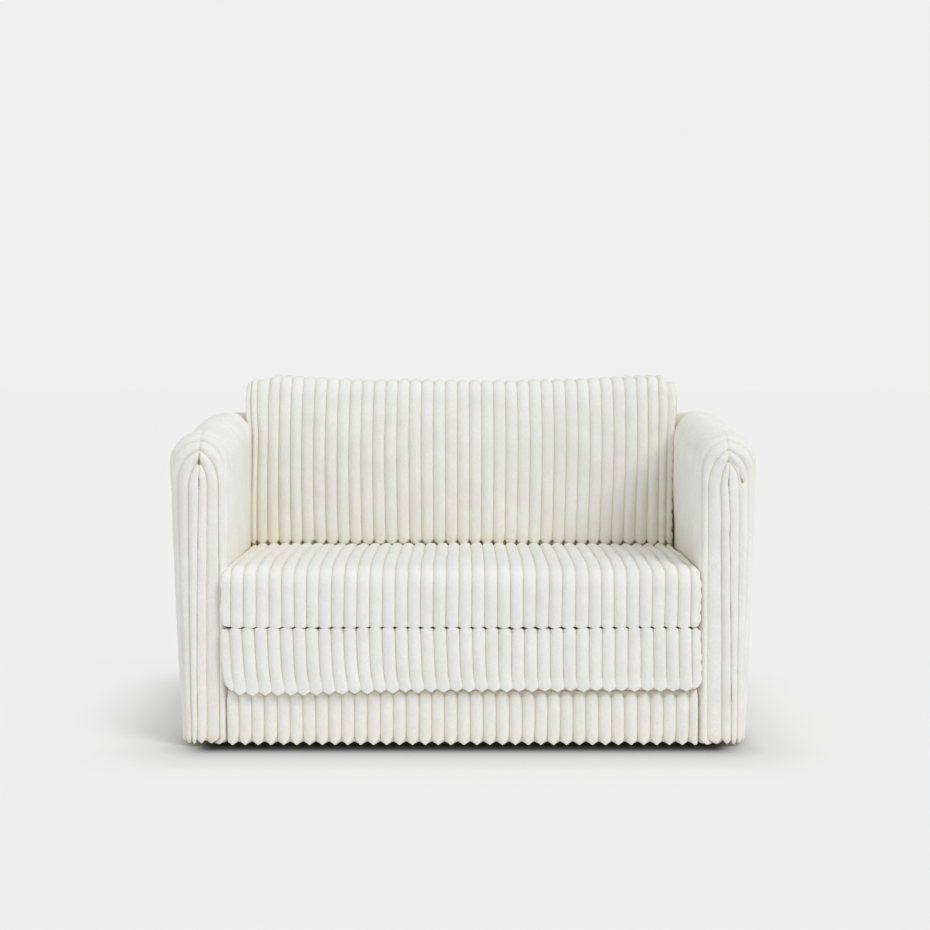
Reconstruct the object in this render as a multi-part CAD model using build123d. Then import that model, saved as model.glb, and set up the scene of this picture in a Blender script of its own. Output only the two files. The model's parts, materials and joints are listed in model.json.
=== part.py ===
from build123d import *
import math
import os

# Compact two-seat sofa bed in jumbo-rib plush. The seat is a mattress of three layers folded like
# a Z: the lowest is part of the base, the middle one turns over on a piped fold at the front, and
# the top one stays level and lands in front of it on the floor.
# X runs along the width, Y from the front (-Y) to the back, Z up. The origin is on the floor under
# the middle of the sofa's box. Lengths are in millimetres.

# Overall sizes
seat_width = 1152.0
seat_depth = 553.0
bed_height = 150.0
seat_thickness = 148.5
seat_overhang = 18.0
arm_thickness = 136.0
arm_foot_thickness = 112.0
arm_front_height = 776.0
arm_back_height = 805.0
arm_rise_length = 415.0
back_height = 790.0
back_thickness = 88.7
cushion_height = 759.7
cushion_thickness = 180.0

# Ribbed fabric: the shares are places across one rib and how much of the groove's depth is left there
rib_pitch = 31.0
cushion_rib_pitch = 32.8
rib_depth = 8.5
cover_wall = 3.5
rib_shares = [(0, 1), (0.3, 0), (0.7, 0)]

# Gaps between soft pieces
soft_gap = 0.3
side_gap = 2.0
fold_clearance = 0.8
fold_half_gap = 0.4
cushion_gap = 1.5

# Cushion forms
seat_front_radius = 42.0
lower_edge_radius = 20.0
base_edge_radius = 16.0
middle_edge_radius = 16.0
hidden_edge_radius = 14.0
seat_crown = 7.0
seat_front_crown = 4.0
seat_back_drop = 6.0
cushion_front_radius = 45.0
cushion_back_radius = 36.0
cushion_foot_radius = 20.0
cushion_crown = 6.0
cushion_sag = 14.0
gusset_thickness = 14.0
gusset_rib_pitch = 28.0
gusset_rib_depth = 6.0

# Arm forms
arm_top_radius = 66.0
arm_front_radius = 40.0
arm_nose_radius = 72.0
arm_nose_length = 87.0
arm_rear_rounding = 14.0
arm_bottom = 14.0
nose_rib_count = 7
nose_top_steps = 4
arm_gap = 0.3

# Back form
back_edge_radius = 25.0
back_top_padding = 10.0

# Timber frame, boards and pads
frame_bottom = 15.0
dust_cover_thickness = 1.0
rail_thickness = 20.0
deck_thickness = 12.0
base_pad_thickness = 13.0
cross_rail_count = 2
corner_block_size = 40.0
back_frame_thickness = 35.0
back_rail_height = 60.0
back_board_thickness = 3.0
back_side_margin = 8.0
webbing_width = 50.0
webbing_thickness = 2.0
webbing_count = 5
arm_panel_thickness = 18.0
arm_outer_panel_thickness = 12.0
arm_frame_thickness = 74.0
arm_frame_height = 640.0
arm_post_thickness = 30.0
arm_rail_height = 40.0
arm_frame_front_margin = 52.0
arm_frame_rear_margin = 34.0

# Feet and fasteners
foot_radius = 28.0
foot_ground_radius = 26.0
foot_height = 13.7
foot_front_margin = 62.0
foot_nail_radius = 2.5
foot_nail_length = 32.0
screw_radius = 4.0
screw_head_radius = 7.5
screw_head_height = 5.0
screw_height = 64.0
screw_inset = 110.0

# Fold hinges: a piping cord with its seam flange, and a half sleeve of tape that turns on it
piping_radius = 2.0
piping_flange_thickness = 1.0
tape_play = 0.05
tape_wall = 0.7
tape_wrap_angle = 62.0
cut_overrun = 10.0
flat_tolerance_share = 1e-9

# Places worked out from the sizes above
half_seat = seat_width / 2
half_section = half_seat - side_gap
sofa_depth = seat_overhang + seat_depth + cushion_thickness + soft_gap + back_thickness
front_y = -sofa_depth / 2
rear_y = sofa_depth / 2
arm_front_y = front_y + seat_overhang
cushion_front_y = arm_front_y + seat_depth
cushion_rear_y = cushion_front_y + cushion_thickness
back_front_y = cushion_rear_y + soft_gap
cover_thickness = rib_depth + cover_wall
lower_fold_y = front_y + (seat_overhang - fold_clearance) / 2
lower_fold_z = bed_height
upper_fold_y = cushion_front_y - cushion_gap
upper_fold_z = bed_height + bed_height
section_rear_y = upper_fold_y - fold_half_gap
base_top = bed_height - soft_gap
middle_bottom = bed_height + soft_gap
middle_top = upper_fold_z - soft_gap
seat_bottom = upper_fold_z + soft_gap
seat_top = seat_bottom + seat_thickness
cushion_bottom = bed_height + soft_gap
cushion_top = cushion_bottom + cushion_height
back_frame_rear_y = rear_y - cover_thickness - soft_gap - back_board_thickness
back_frame_front_y = back_frame_rear_y - back_frame_thickness
back_frame_top = back_height - cover_thickness - back_top_padding - soft_gap
rail_top = base_top - cover_thickness - soft_gap - base_pad_thickness - deck_thickness
rail_end_x = half_seat - arm_gap
nose_end_y = arm_front_y + arm_nose_length
arm_ribs_end_y = rear_y - arm_rear_rounding
arm_panel_x = half_seat + cover_thickness + soft_gap
arm_frame_outer_x = arm_panel_x + arm_frame_thickness
arm_frame_front_y = arm_front_y + arm_frame_front_margin
arm_frame_rear_y = rear_y - arm_frame_rear_margin
foot_x = arm_panel_x + arm_panel_thickness / 2
screw_places_y = [arm_frame_front_y + screw_inset, back_frame_front_y - screw_inset]


# Points of an outline

# Each corner is (u, v, rounding radius, number of flats on the rounding), counter-clockwise.
# An edge marked 1 moves inwards by the rib depth, and an edge marked 0 is plain and stays.
def inset_corners(corners, ribbed, depth):
    moved = []
    for place, (u, v, radius, flats) in enumerate(corners):
        before = corners[place - 1]
        after = corners[(place + 1) % len(corners)]
        into = unit(before, (u, v))
        out = unit((u, v), after)
        depth_in = depth * ribbed[place - 1]
        depth_out = depth * ribbed[place]
        across = into[0] * out[1] - into[1] * out[0]
        du = (depth_in * out[0] - depth_out * into[0]) / across
        dv = (depth_in * out[1] - depth_out * into[1]) / across
        moved.append((u + du, v + dv, radius - min(depth_in, depth_out), flats))
    return moved


def unit(start, end):
    length = math.hypot(end[0] - start[0], end[1] - start[1])
    return (end[0] - start[0]) / length, (end[1] - start[1]) / length


# Turns rounded corners into points on their arcs. Each point carries the mark of the edge after it.
def rounded_points(corners, ribbed):
    points = []
    marks = []
    for place, (u, v, radius, flats) in enumerate(corners):
        into = unit(corners[place - 1], (u, v))
        out = unit((u, v), corners[(place + 1) % len(corners)])
        if flats == 0:
            points.append((u, v))
            marks.append(ribbed[place])
            continue
        turn = math.atan2(into[0] * out[1] - into[1] * out[0], into[0] * out[0] + into[1] * out[1])
        reach = radius * math.tan(turn / 2)
        start = (u - into[0] * reach, v - into[1] * reach)
        centre = (start[0] - into[1] * radius, start[1] + into[0] * radius)
        first = math.atan2(start[1] - centre[1], start[0] - centre[0])
        for flat in range(flats + 1):
            angle = first + turn * flat / flats
            points.append((centre[0] + radius * math.cos(angle), centre[1] + radius * math.sin(angle)))
            marks.append(max(ribbed[place - 1], ribbed[place]))
        marks[-1] = ribbed[place]
    return points, marks


def ring(corners, ribbed, depth):
    return rounded_points(inset_corners(corners, ribbed, depth), ribbed)


# The first place where a ray from inside the hinge meets an outline
def ray_reach(origin, angle, points):
    ray = (math.cos(angle), math.sin(angle))
    reaches = []
    for place, start in enumerate(points):
        end = points[(place + 1) % len(points)]
        side = (end[0] - start[0], end[1] - start[1])
        away = (start[0] - origin[0], start[1] - origin[1])
        across = ray[0] * side[1] - ray[1] * side[0]
        if across == 0:
            continue
        distance = (away[0] * side[1] - away[1] * side[0]) / across
        share = (away[0] * ray[1] - away[1] * ray[0]) / across
        if distance > 0 and 0 <= share <= 1:
            reaches.append(distance)
    return min(reaches)


# Solids with flat facets between rings

def flat_face(points):
    return Face(Wire.make_polygon([Vector(*point) for point in points], close=True))


def is_flat(points):
    first, second, third, fourth = (Vector(*point) for point in points)
    normal = (second - first).cross(third - first)
    reach = normal.length * (fourth - first).length
    return reach == 0 or abs(normal.dot(fourth - first)) < reach * flat_tolerance_share


def quad_faces(points):
    if is_flat(points):
        return [flat_face(points)]
    first, second, third, fourth = points
    return [flat_face([first, second, third]), flat_face([first, third, fourth])]


# Rings that follow each other, with a flat cap at each end. An edge marked 0 is one flat face all along.
def ringed_solid(rings, marks):
    faces = [flat_face(rings[0]), flat_face(rings[-1])]
    count = len(marks)
    for edge in range(count):
        following = (edge + 1) % count
        if marks[edge]:
            for near, far in zip(rings, rings[1:]):
                faces += quad_faces([near[edge], near[following], far[following], far[edge]])
            continue
        first_side = side_points(rings, edge, marks[edge - 1])
        second_side = side_points(rings, following, marks[following])
        faces.append(flat_face(first_side + second_side[::-1]))
    return Solid(Shell(faces))


def side_points(rings, place, beside_ribs):
    if beside_ribs:
        return [points[place] for points in rings]
    return [rings[0][place], rings[-1][place]]


# Places along the ribs and the groove depth there, with whole ribs between two grooves
def rib_stations(start, end, pitch, depth):
    count = max(1, round((end - start) / pitch))
    step = (end - start) / count
    stations = []
    for rib in range(count):
        for place_share, depth_share in rib_shares:
            stations.append((start + step * (rib + place_share), depth * depth_share))
    stations.append((end, depth))
    return stations


def along_x(x, points):
    return [(x, u, v) for u, v in points]


def along_y(y, points):
    return [(u, y, v) for u, v in points]


def along_z(z, points):
    return [(u, v, z) for u, v in points]


# A cover, foam core and side gussets share one outline function of the place along X
def ribbed_along_x(corners_at, ribbed, pitch):
    rings = []
    for x, depth in rib_stations(-half_section, half_section, pitch, rib_depth):
        points, marks = ring(corners_at(x), ribbed, depth)
        rings.append(along_x(x, points))
    return ringed_solid(rings, marks)


def plain_along_x(corners, inset, low_x, high_x):
    inset_all = [1] * len(corners)
    points, marks = ring(corners, inset_all, inset)
    return ringed_solid([along_x(low_x, points), along_x(high_x, points)], marks)


def board(low, high):
    size = [upper - lower for lower, upper in zip(low, high)]
    return Solid.make_box(*size, Plane(origin=Vector(*low)))


def rod(start, direction, radius, length):
    return Solid.make_cylinder(radius, length, Plane(origin=Vector(*start), z_dir=Vector(*direction)))


def both_sides(solid):
    return [solid, solid.mirror(Plane.YZ)]


def save(name, *solids):
    shape = solids[0] if len(solids) == 1 else Compound(children=list(solids))
    export_step(shape, f"parts/{name}.step")
    print(name, len(solids), round(sum(solid.volume for solid in solids)))


# Outlines of the soft pieces across the width, seen along X as (y, z)

def crown_share(x):
    return 1 - (x / half_section) ** 2


def seat_corners(x):
    top = seat_top - seat_crown * (1 - crown_share(x))
    middle_y = (front_y + section_rear_y) / 2
    middle_z = (seat_bottom + seat_top) / 2
    drawn_front = front_y + seat_front_crown
    return [
        (drawn_front, seat_bottom, hidden_edge_radius, 2),
        (section_rear_y, seat_bottom, hidden_edge_radius, 1),
        (section_rear_y, top - seat_back_drop, hidden_edge_radius, 1),
        (middle_y, top, 0, 0),
        (drawn_front, top - seat_front_crown, seat_front_radius, 4),
        (front_y, middle_z, 0, 0),
    ]


seat_ribbed = [0, 0, 1, 1, 1, 1]


def middle_corners(x):
    return [
        (front_y, middle_bottom, lower_edge_radius, 2),
        (section_rear_y, middle_bottom, hidden_edge_radius, 1),
        (section_rear_y, middle_top, hidden_edge_radius, 1),
        (front_y, middle_top, middle_edge_radius, 2),
    ]


middle_ribbed = [1, 0, 0, 1]


def cushion_corners(x):
    top = cushion_top - cushion_sag * crown_share(x)
    middle_z = (cushion_bottom + cushion_top) / 2
    drawn_front = cushion_front_y + cushion_crown
    return [
        (drawn_front, cushion_bottom, cushion_foot_radius, 1),
        (cushion_rear_y, cushion_bottom, cushion_foot_radius, 1),
        (cushion_rear_y, top, cushion_back_radius, 2),
        (drawn_front, top, cushion_front_radius, 3),
        (cushion_front_y, middle_z, 0, 0),
    ]


cushion_ribbed = [0, 1, 1, 1, 1]


def base_cover_corners(x):
    inner_y = arm_front_y + cover_thickness
    inner_z = base_top - cover_thickness
    return [
        (arm_front_y, arm_bottom, 0, 0),
        (inner_y, arm_bottom, 0, 0),
        (inner_y, inner_z, 0, 0),
        (back_frame_front_y, inner_z, 0, 0),
        (back_frame_front_y, base_top, 0, 0),
        (arm_front_y, base_top, base_edge_radius, 2),
    ]


base_cover_ribbed = [0, 0, 0, 0, 1, 1]


def back_cover_corners(x):
    return [
        (back_front_y, arm_bottom, 0, 0),
        (rear_y, arm_bottom, 0, 0),
        (rear_y, back_height, back_edge_radius, 2),
        (back_front_y, back_height, hidden_edge_radius, 1),
    ]


back_cover_ribbed = [0, 1, 1, 0]


# Mattress sections and back cushion

# The cover is a ribbed sleeve, open at both ends, round the foam. The hollow follows the outline at
# the place along X where the piece is lowest.
def sleeve(corners_at, ribbed, pitch, lowest_x):
    hollow_end = half_section + cut_overrun
    outside = ribbed_along_x(corners_at, ribbed, pitch)
    return outside - plain_along_x(corners_at(lowest_x), cover_thickness, -hollow_end, hollow_end)


def foam_core(corners_at, lowest_x):
    foam_end = half_section - gusset_thickness - soft_gap
    return plain_along_x(corners_at(lowest_x), cover_thickness + soft_gap, -foam_end, foam_end)


# A side gusset closes the sleeve's end, with ribs that run from front to back
def side_gussets(corners_at, lowest_x):
    corners = corners_at(lowest_x)
    low_z = min(corner[1] for corner in corners)
    high_z = max(corner[1] for corner in corners)
    low_y = min(corner[0] for corner in corners)
    high_y = max(corner[0] for corner in corners)
    inner_x = half_section - gusset_thickness
    plate_corners = [
        (inner_x, low_y, 0, 0),
        (half_section, low_y, 0, 0),
        (half_section, high_y, 0, 0),
        (inner_x, high_y, 0, 0),
    ]
    plate_ribbed = [0, 1, 0, 0]
    rings = []
    for z, depth in rib_stations(low_z, high_z, gusset_rib_pitch, gusset_rib_depth):
        points, marks = ring(plate_corners, plate_ribbed, depth)
        rings.append(along_z(z, points))
    plate = ringed_solid(rings, marks)
    plug_end = half_section + cut_overrun
    plug = plain_along_x(corners, cover_thickness + soft_gap, inner_x - cut_overrun, plug_end)
    return both_sides(plate & plug)


# Fold hinges

def fold_angle(axis, target):
    return math.atan2(target[1] - axis[1], target[0] - axis[0])


# The bar of fabric from near the axis out to its seam, as a strip along the ray
def radial_strip(axis, angle, reach):
    ray = Vector(0, math.cos(angle), math.sin(angle))
    side = Vector(0, -math.sin(angle), math.cos(angle)) * (piping_flange_thickness / 2)
    centre = Vector(-half_section, *axis)
    inner = centre + ray * (piping_radius + tape_play + tape_wall / 2)
    outer = centre + ray * reach
    corners = [inner - side, outer - side, outer + side, inner + side]
    outline = Face(Wire.make_polygon(corners, close=True))
    return Solid.extrude(outline, Vector(2 * half_section, 0, 0))


def piping(axis, angle, reach):
    cord = rod((-half_section, *axis), (1, 0, 0), piping_radius, 2 * half_section)
    ray = Vector(0, math.cos(angle), math.sin(angle))
    side = Vector(0, -math.sin(angle), math.cos(angle)) * (piping_flange_thickness / 2)
    centre = Vector(-half_section, *axis)
    corners = [centre - side, centre + ray * reach - side, centre + ray * reach + side, centre + side]
    flange = Solid.extrude(Face(Wire.make_polygon(corners, close=True)), Vector(2 * half_section, 0, 0))
    return cord + flange


def fold_tape(axis, angle, reach):
    bore = piping_radius + tape_play
    sleeve_length = 2 * half_section
    wrap = 2 * tape_wrap_angle
    outer = Solid.make_cylinder(bore + tape_wall, sleeve_length, tape_plane(axis, angle), wrap)
    inner = rod((-half_section - cut_overrun, *axis), (1, 0, 0), bore, sleeve_length + 2 * cut_overrun)
    return (outer - inner) + radial_strip(axis, angle, reach)


# Local X of this plane is where the half sleeve starts round the axis
def tape_plane(axis, angle):
    start = angle - math.radians(tape_wrap_angle)
    return Plane(
        origin=Vector(-half_section, *axis),
        x_dir=Vector(0, math.cos(start), math.sin(start)),
        z_dir=Vector(1, 0, 0),
    )


def crest_outline(corners_at, ribbed):
    return ring(corners_at(0), ribbed, 0)[0]


def lower_fold():
    axis = (lower_fold_y, lower_fold_z)
    base_edge = (arm_front_y + base_edge_radius, base_top - base_edge_radius)
    middle_edge = (front_y + lower_edge_radius, middle_bottom + lower_edge_radius)
    base_angle = fold_angle(axis, base_edge)
    middle_angle = fold_angle(axis, middle_edge)
    base_reach = ray_reach(axis, base_angle, crest_outline(base_cover_corners, base_cover_ribbed))
    middle_reach = ray_reach(axis, middle_angle, crest_outline(middle_corners, middle_ribbed))
    save("lower_fold_piping", piping(axis, base_angle, base_reach - soft_gap))
    save("lower_fold_tape", fold_tape(axis, middle_angle, middle_reach - soft_gap))


def upper_fold():
    axis = (upper_fold_y, upper_fold_z)
    inside_y = section_rear_y - hidden_edge_radius
    middle_angle = fold_angle(axis, (inside_y, middle_top - hidden_edge_radius))
    seat_angle = fold_angle(axis, (inside_y, seat_bottom + hidden_edge_radius)) % math.tau
    middle_reach = ray_reach(axis, middle_angle, crest_outline(middle_corners, middle_ribbed))
    seat_reach = ray_reach(axis, seat_angle, crest_outline(seat_corners, seat_ribbed))
    save("upper_fold_piping", piping(axis, middle_angle, middle_reach - soft_gap))
    save("upper_fold_tape", fold_tape(axis, seat_angle, seat_reach - soft_gap))


# Arms. All of these make the right arm, and the left one mirrors it.

def arm_outer_x(z):
    lean_height = arm_front_height - arm_top_radius - arm_bottom
    lean = (arm_thickness - arm_foot_thickness) * (z - arm_bottom) / lean_height
    return half_seat + arm_foot_thickness + lean


def arm_top(y):
    rise = min(1, max(0, (y - nose_end_y) / arm_rise_length))
    smooth = (1 - math.cos(math.pi * rise)) / 2
    return arm_front_height + (arm_back_height - arm_front_height) * smooth


def arm_corners(top, bottom):
    return [
        (half_seat, bottom, 0, 0),
        (arm_outer_x(bottom), bottom, 0, 0),
        (arm_outer_x(top), top, arm_top_radius, 4),
        (half_seat, top, arm_top_radius, 3),
    ]


arm_ribbed = [0, 1, 1, 1]


# The rings over the arm, from the rounded front to the back
def arm_body():
    rings = []
    for y, depth in rib_stations(nose_end_y, arm_ribs_end_y, rib_pitch, rib_depth):
        points, marks = ring(arm_corners(arm_top(y), arm_bottom), arm_ribbed, depth)
        rings.append(along_y(y, points))
    closing = rib_depth + arm_rear_rounding
    points, marks = ring(arm_corners(arm_top(rear_y), arm_bottom), arm_ribbed, closing)
    rings.append(along_y(rear_y, points))
    return ringed_solid(rings, marks)


# The plan of the arm's front at one height, as points with upright ribs round a half stadium
def nose_points(z, front):
    full_half = (arm_outer_x(z) - half_seat) / 2
    centre_x = half_seat + full_half
    over = max(0, z - (arm_front_height - arm_top_radius))
    drawn = arm_top_radius - math.sqrt(arm_top_radius ** 2 - over ** 2)
    half = full_half - drawn
    corner = min(arm_front_radius, half, nose_end_y - front)
    side = nose_end_y - front - corner
    face = 2 * (half - corner)
    bend = corner * math.pi / 2
    length = 2 * side + 2 * bend + face
    full_length = 2 * arm_nose_length + 2 * full_half
    depth = rib_depth * min(1, length / full_length)
    points = []
    for rib in range(nose_rib_count):
        for place_share, depth_share in rib_shares:
            share = (rib + place_share) / nose_rib_count
            travelled = share * length
            points.append(nose_point(travelled, depth * depth_share, centre_x, front, half, corner))
    points.append(nose_point(length, depth, centre_x, front, half, corner))
    return points


def nose_point(travelled, depth, centre_x, front, half, corner):
    side = nose_end_y - front - corner
    bend = corner * math.pi / 2
    face = 2 * (half - corner)
    if travelled <= side:
        return centre_x + half - depth, nose_end_y - travelled
    travelled -= side
    if travelled <= bend:
        angle = -travelled / corner
        radius = corner - depth
        return centre_x + half - corner + radius * math.cos(angle), front + corner + radius * math.sin(angle)
    travelled -= bend
    if travelled <= face:
        return centre_x + half - corner - travelled, front + depth
    travelled -= face
    if travelled <= bend:
        angle = -math.pi / 2 - travelled / corner
        radius = corner - depth
        return centre_x - half + corner + radius * math.cos(angle), front + corner + radius * math.sin(angle)
    travelled -= bend
    return centre_x - half + depth, front + corner + travelled


# Upright ribs round the arm's front that close over its rounded top edge towards the middle
def arm_nose():
    levels = [(arm_bottom, arm_front_y), (arm_front_height - arm_nose_radius, arm_front_y)]
    for step in range(1, nose_top_steps + 1):
        angle = math.pi / 2 * step / nose_top_steps
        rise = arm_nose_radius * math.sin(angle)
        setback = arm_nose_radius * (1 - math.cos(angle))
        levels.append((arm_front_height - arm_nose_radius + rise, arm_front_y + setback))
    rings = [along_z(z, nose_points(z, front)) for z, front in levels]
    marks = [1] * len(rings[0])
    marks[-1] = 0
    faces = [flat_face(rings[0]), flat_face(rings[-1])]
    for near, far in zip(rings, rings[1:]):
        for edge in range(len(near) - 1):
            faces += quad_faces([near[edge], near[edge + 1], far[edge + 1], far[edge]])
    faces.append(flat_face([points[0] for points in rings] + [points[-1] for points in rings][::-1]))
    return Solid(Shell(faces))


# The hollow inside the cover, or the foam that fills it, drawn in at the rounded front and back
def arm_inside(gap, bottom):
    plain = cover_thickness + gap
    tight = cover_thickness + arm_front_radius / 2 + gap
    nose_drop = arm_nose_radius / 2
    front = arm_front_y + plain
    rear = rear_y - plain
    rings = []
    for y, inset, drop in [
        (front, tight, nose_drop + arm_front_radius / 2),
        (front + arm_front_radius, plain, nose_drop / 3),
        (nose_end_y, plain, 0),
        (nose_end_y + arm_rise_length / 2, plain, 0),
        (nose_end_y + arm_rise_length, plain, 0),
        (rear - arm_rear_rounding, plain, 0),
        (rear, plain + arm_rear_rounding, 0),
    ]:
        points, marks = ring(arm_corners(arm_top(y) - drop, bottom), arm_ribbed, inset)
        rings.append(along_y(y, points))
    return ringed_solid(rings, marks)


def arm_frame_boards():
    bottom = frame_bottom
    top = arm_frame_height
    between_low = arm_panel_x + arm_panel_thickness
    between_high = arm_frame_outer_x - arm_outer_panel_thickness
    front = arm_frame_front_y
    rear = arm_frame_rear_y
    post_front = front + arm_post_thickness
    post_rear = rear - arm_post_thickness
    inner_panel = board((arm_panel_x, front, bottom), (between_low, rear, top))
    outer_panel = board((between_high, front, bottom), (arm_frame_outer_x, rear, top))
    posts = [
        board((between_low, front, bottom), (between_high, post_front, top)),
        board((between_low, post_rear, bottom), (between_high, rear, top)),
    ]
    rails = [
        board((between_low, post_front, bottom), (between_high, post_rear, bottom + arm_rail_height)),
        board((between_low, post_front, top - arm_rail_height), (between_high, post_rear, top)),
    ]
    return inner_panel, outer_panel, posts, rails


def arms():
    inner_panel, outer_panel, posts, rails = arm_frame_boards()
    whole = arm_body() + arm_nose()
    cover = whole - arm_inside(0, arm_bottom - cut_overrun)
    foam_block = arm_inside(soft_gap, frame_bottom)
    frame_space = board(
        (half_seat, arm_frame_front_y - soft_gap, 0),
        (arm_frame_outer_x + soft_gap, arm_frame_rear_y + soft_gap, arm_frame_height + soft_gap),
    )
    foam = foam_block - frame_space
    pieces = {
        "arm_cover": [cover],
        "arm_foam": [foam],
        "arm_inner_panel": [inner_panel],
        "arm_outer_panel": [outer_panel],
        "arm_posts": posts,
        "arm_rails": rails,
    }
    for name, solids in pieces.items():
        save(f"right_{name}", *solids)
        save(f"left_{name}", *[solid.mirror(Plane.YZ) for solid in solids])


# Base

def base_frame():
    front = arm_front_y + cover_thickness + soft_gap
    rear = back_frame_front_y
    inner_front = front + rail_thickness
    inner_rear = rear - rail_thickness
    side_low = rail_end_x - rail_thickness
    half_end = rail_end_x
    save("base_front_rail", board((-half_end, front, frame_bottom), (half_end, inner_front, rail_top)))
    save("base_rear_rail", board((-half_end, inner_rear, frame_bottom), (half_end, rear, rail_top)))
    side_rail = board((side_low, inner_front, frame_bottom), (half_end, inner_rear, rail_top))
    save("base_side_rails", *both_sides(side_rail))
    cross_rails = []
    for cross in range(1, cross_rail_count + 1):
        x = -side_low + 2 * side_low * cross / (cross_rail_count + 1) - rail_thickness / 2
        cross_rails.append(board((x, inner_front, frame_bottom), (x + rail_thickness, inner_rear, rail_top)))
    save("base_cross_rails", *cross_rails)
    blocks = []
    for low_y in (inner_front, inner_rear - corner_block_size):
        high_y = low_y + corner_block_size
        low_x = side_low - corner_block_size
        blocks += both_sides(board((low_x, low_y, frame_bottom), (side_low, high_y, rail_top)))
    save("base_corner_blocks", *blocks)
    deck_top = rail_top + deck_thickness
    save("base_deck", board((-half_section, front, rail_top), (half_section, rear, deck_top)))
    pad_top = deck_top + base_pad_thickness
    save("base_foam_pad", board((-half_section, front, deck_top), (half_section, rear, pad_top)))
    save("base_cover", ribbed_along_x(base_cover_corners, base_cover_ribbed, rib_pitch))
    dust_low = frame_bottom - dust_cover_thickness
    lining = board((-half_end, front, dust_low), (half_end, back_frame_rear_y, frame_bottom))
    save("base_dust_cover", lining)


# Hexagon-headed screws from inside the base through its side rails into the arms' inner panels
def arm_screws():
    head_x = rail_end_x - rail_thickness
    length = arm_panel_x + arm_panel_thickness - head_x
    screws = []
    for y in screw_places_y:
        shank = rod((head_x, y, screw_height), (1, 0, 0), screw_radius, length)
        screws += both_sides(shank + hexagon_head(head_x, y))
    save("arm_screws", *screws)


def hexagon_head(x, y):
    corners = []
    for corner in range(6):
        angle = math.tau * corner / 6
        reach_y = screw_head_radius * math.cos(angle)
        reach_z = screw_head_radius * math.sin(angle)
        corners.append((x - screw_head_height, y + reach_y, screw_height + reach_z))
    return Solid.extrude(flat_face(corners), Vector(screw_head_height, 0, 0))


# Low round glides of black plastic, each with its own nail up into the arm's inner panel
def feet():
    glides = []
    for y in (arm_front_y + foot_front_margin, rear_y - foot_front_margin):
        profile = [
            (0, 0),
            (foot_ground_radius, 0),
            (foot_radius, foot_height),
            (foot_nail_radius, foot_height),
            (foot_nail_radius, foot_height + foot_nail_length),
            (0, foot_height + foot_nail_length),
        ]
        outline = flat_face([(foot_x + radius, y, z) for radius, z in profile])
        glide = Solid.revolve(outline, 360, Axis((foot_x, y, 0), (0, 0, 1)))
        glides += both_sides(glide)
    save("feet", *glides)


# Back

def back():
    front = back_frame_front_y
    rear = back_frame_rear_y
    half_width = half_section - back_side_margin
    top = back_frame_top
    low_rail_top = frame_bottom + back_rail_height
    high_rail_low = top - back_rail_height
    stiles = both_sides(board((half_width - back_rail_height, front, frame_bottom), (half_width, rear, top)))
    inner_x = half_width - back_rail_height
    half_stile = back_rail_height / 2
    stiles.append(board((-half_stile, front, low_rail_top), (half_stile, rear, high_rail_low)))
    save("back_stiles", *stiles)
    rails = [
        board((-inner_x, front, frame_bottom), (inner_x, rear, low_rail_top)),
        board((-inner_x, front, high_rail_low), (inner_x, rear, top)),
    ]
    save("back_rails", *rails)
    web_front = front - webbing_thickness
    span_low = cushion_bottom + webbing_width
    span = high_rail_low - span_low - webbing_width
    straps = []
    for strap in range(webbing_count):
        low_z = span_low + span * strap / (webbing_count - 1)
        straps.append(board((-half_width, web_front, low_z), (half_width, front, low_z + webbing_width)))
    save("back_webbing", *straps)
    foam_front = back_front_y + cover_thickness + soft_gap
    save("back_foam", board((-half_width, foam_front, cushion_bottom), (half_width, web_front, top)))
    save("back_board", board((-half_width, rear, frame_bottom), (half_width, rear + back_board_thickness, top)))
    save("back_cover", back_cover())


# The cover is a hood over the back's frame, cut short in front where the base's cover meets it
def back_cover():
    hood = ribbed_along_x(back_cover_corners, back_cover_ribbed, rib_pitch)
    end_x = half_section + cut_overrun
    low_z = arm_bottom - cut_overrun
    inner_front = back_front_y + cover_thickness
    inner_rear = rear_y - cover_thickness
    hood -= board((-end_x, inner_front, low_z), (end_x, inner_rear, back_frame_top + soft_gap))
    return hood - board((-end_x, back_front_y - cut_overrun, low_z), (end_x, inner_front, cushion_bottom))


def mattress():
    save("seat_cover", sleeve(seat_corners, seat_ribbed, rib_pitch, half_section))
    save("seat_side_gussets", *side_gussets(seat_corners, half_section))
    save("seat_foam", foam_core(seat_corners, half_section))
    save("middle_cover", sleeve(middle_corners, middle_ribbed, rib_pitch, half_section))
    save("middle_side_gussets", *side_gussets(middle_corners, half_section))
    save("middle_foam", foam_core(middle_corners, half_section))


def back_cushion():
    save("back_cushion_cover", sleeve(cushion_corners, cushion_ribbed, cushion_rib_pitch, 0))
    save("back_cushion_gussets", *side_gussets(cushion_corners, 0))
    save("back_cushion_foam", foam_core(cushion_corners, 0))


os.makedirs("parts", exist_ok=True)
base_frame()
feet()
arm_screws()
arms()
back()
mattress()
lower_fold()
upper_fold()
back_cushion()
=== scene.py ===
import bmesh
import bpy
import json
import math
import numpy as np
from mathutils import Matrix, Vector


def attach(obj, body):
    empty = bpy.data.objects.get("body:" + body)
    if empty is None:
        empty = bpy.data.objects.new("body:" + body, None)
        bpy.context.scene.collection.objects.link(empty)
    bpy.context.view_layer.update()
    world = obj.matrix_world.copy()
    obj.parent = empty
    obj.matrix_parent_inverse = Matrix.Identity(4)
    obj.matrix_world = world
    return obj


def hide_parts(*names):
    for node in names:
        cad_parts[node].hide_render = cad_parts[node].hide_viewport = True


# Sofa bed in ivory jumbo-rib plush. Lengths are in metres.

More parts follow.
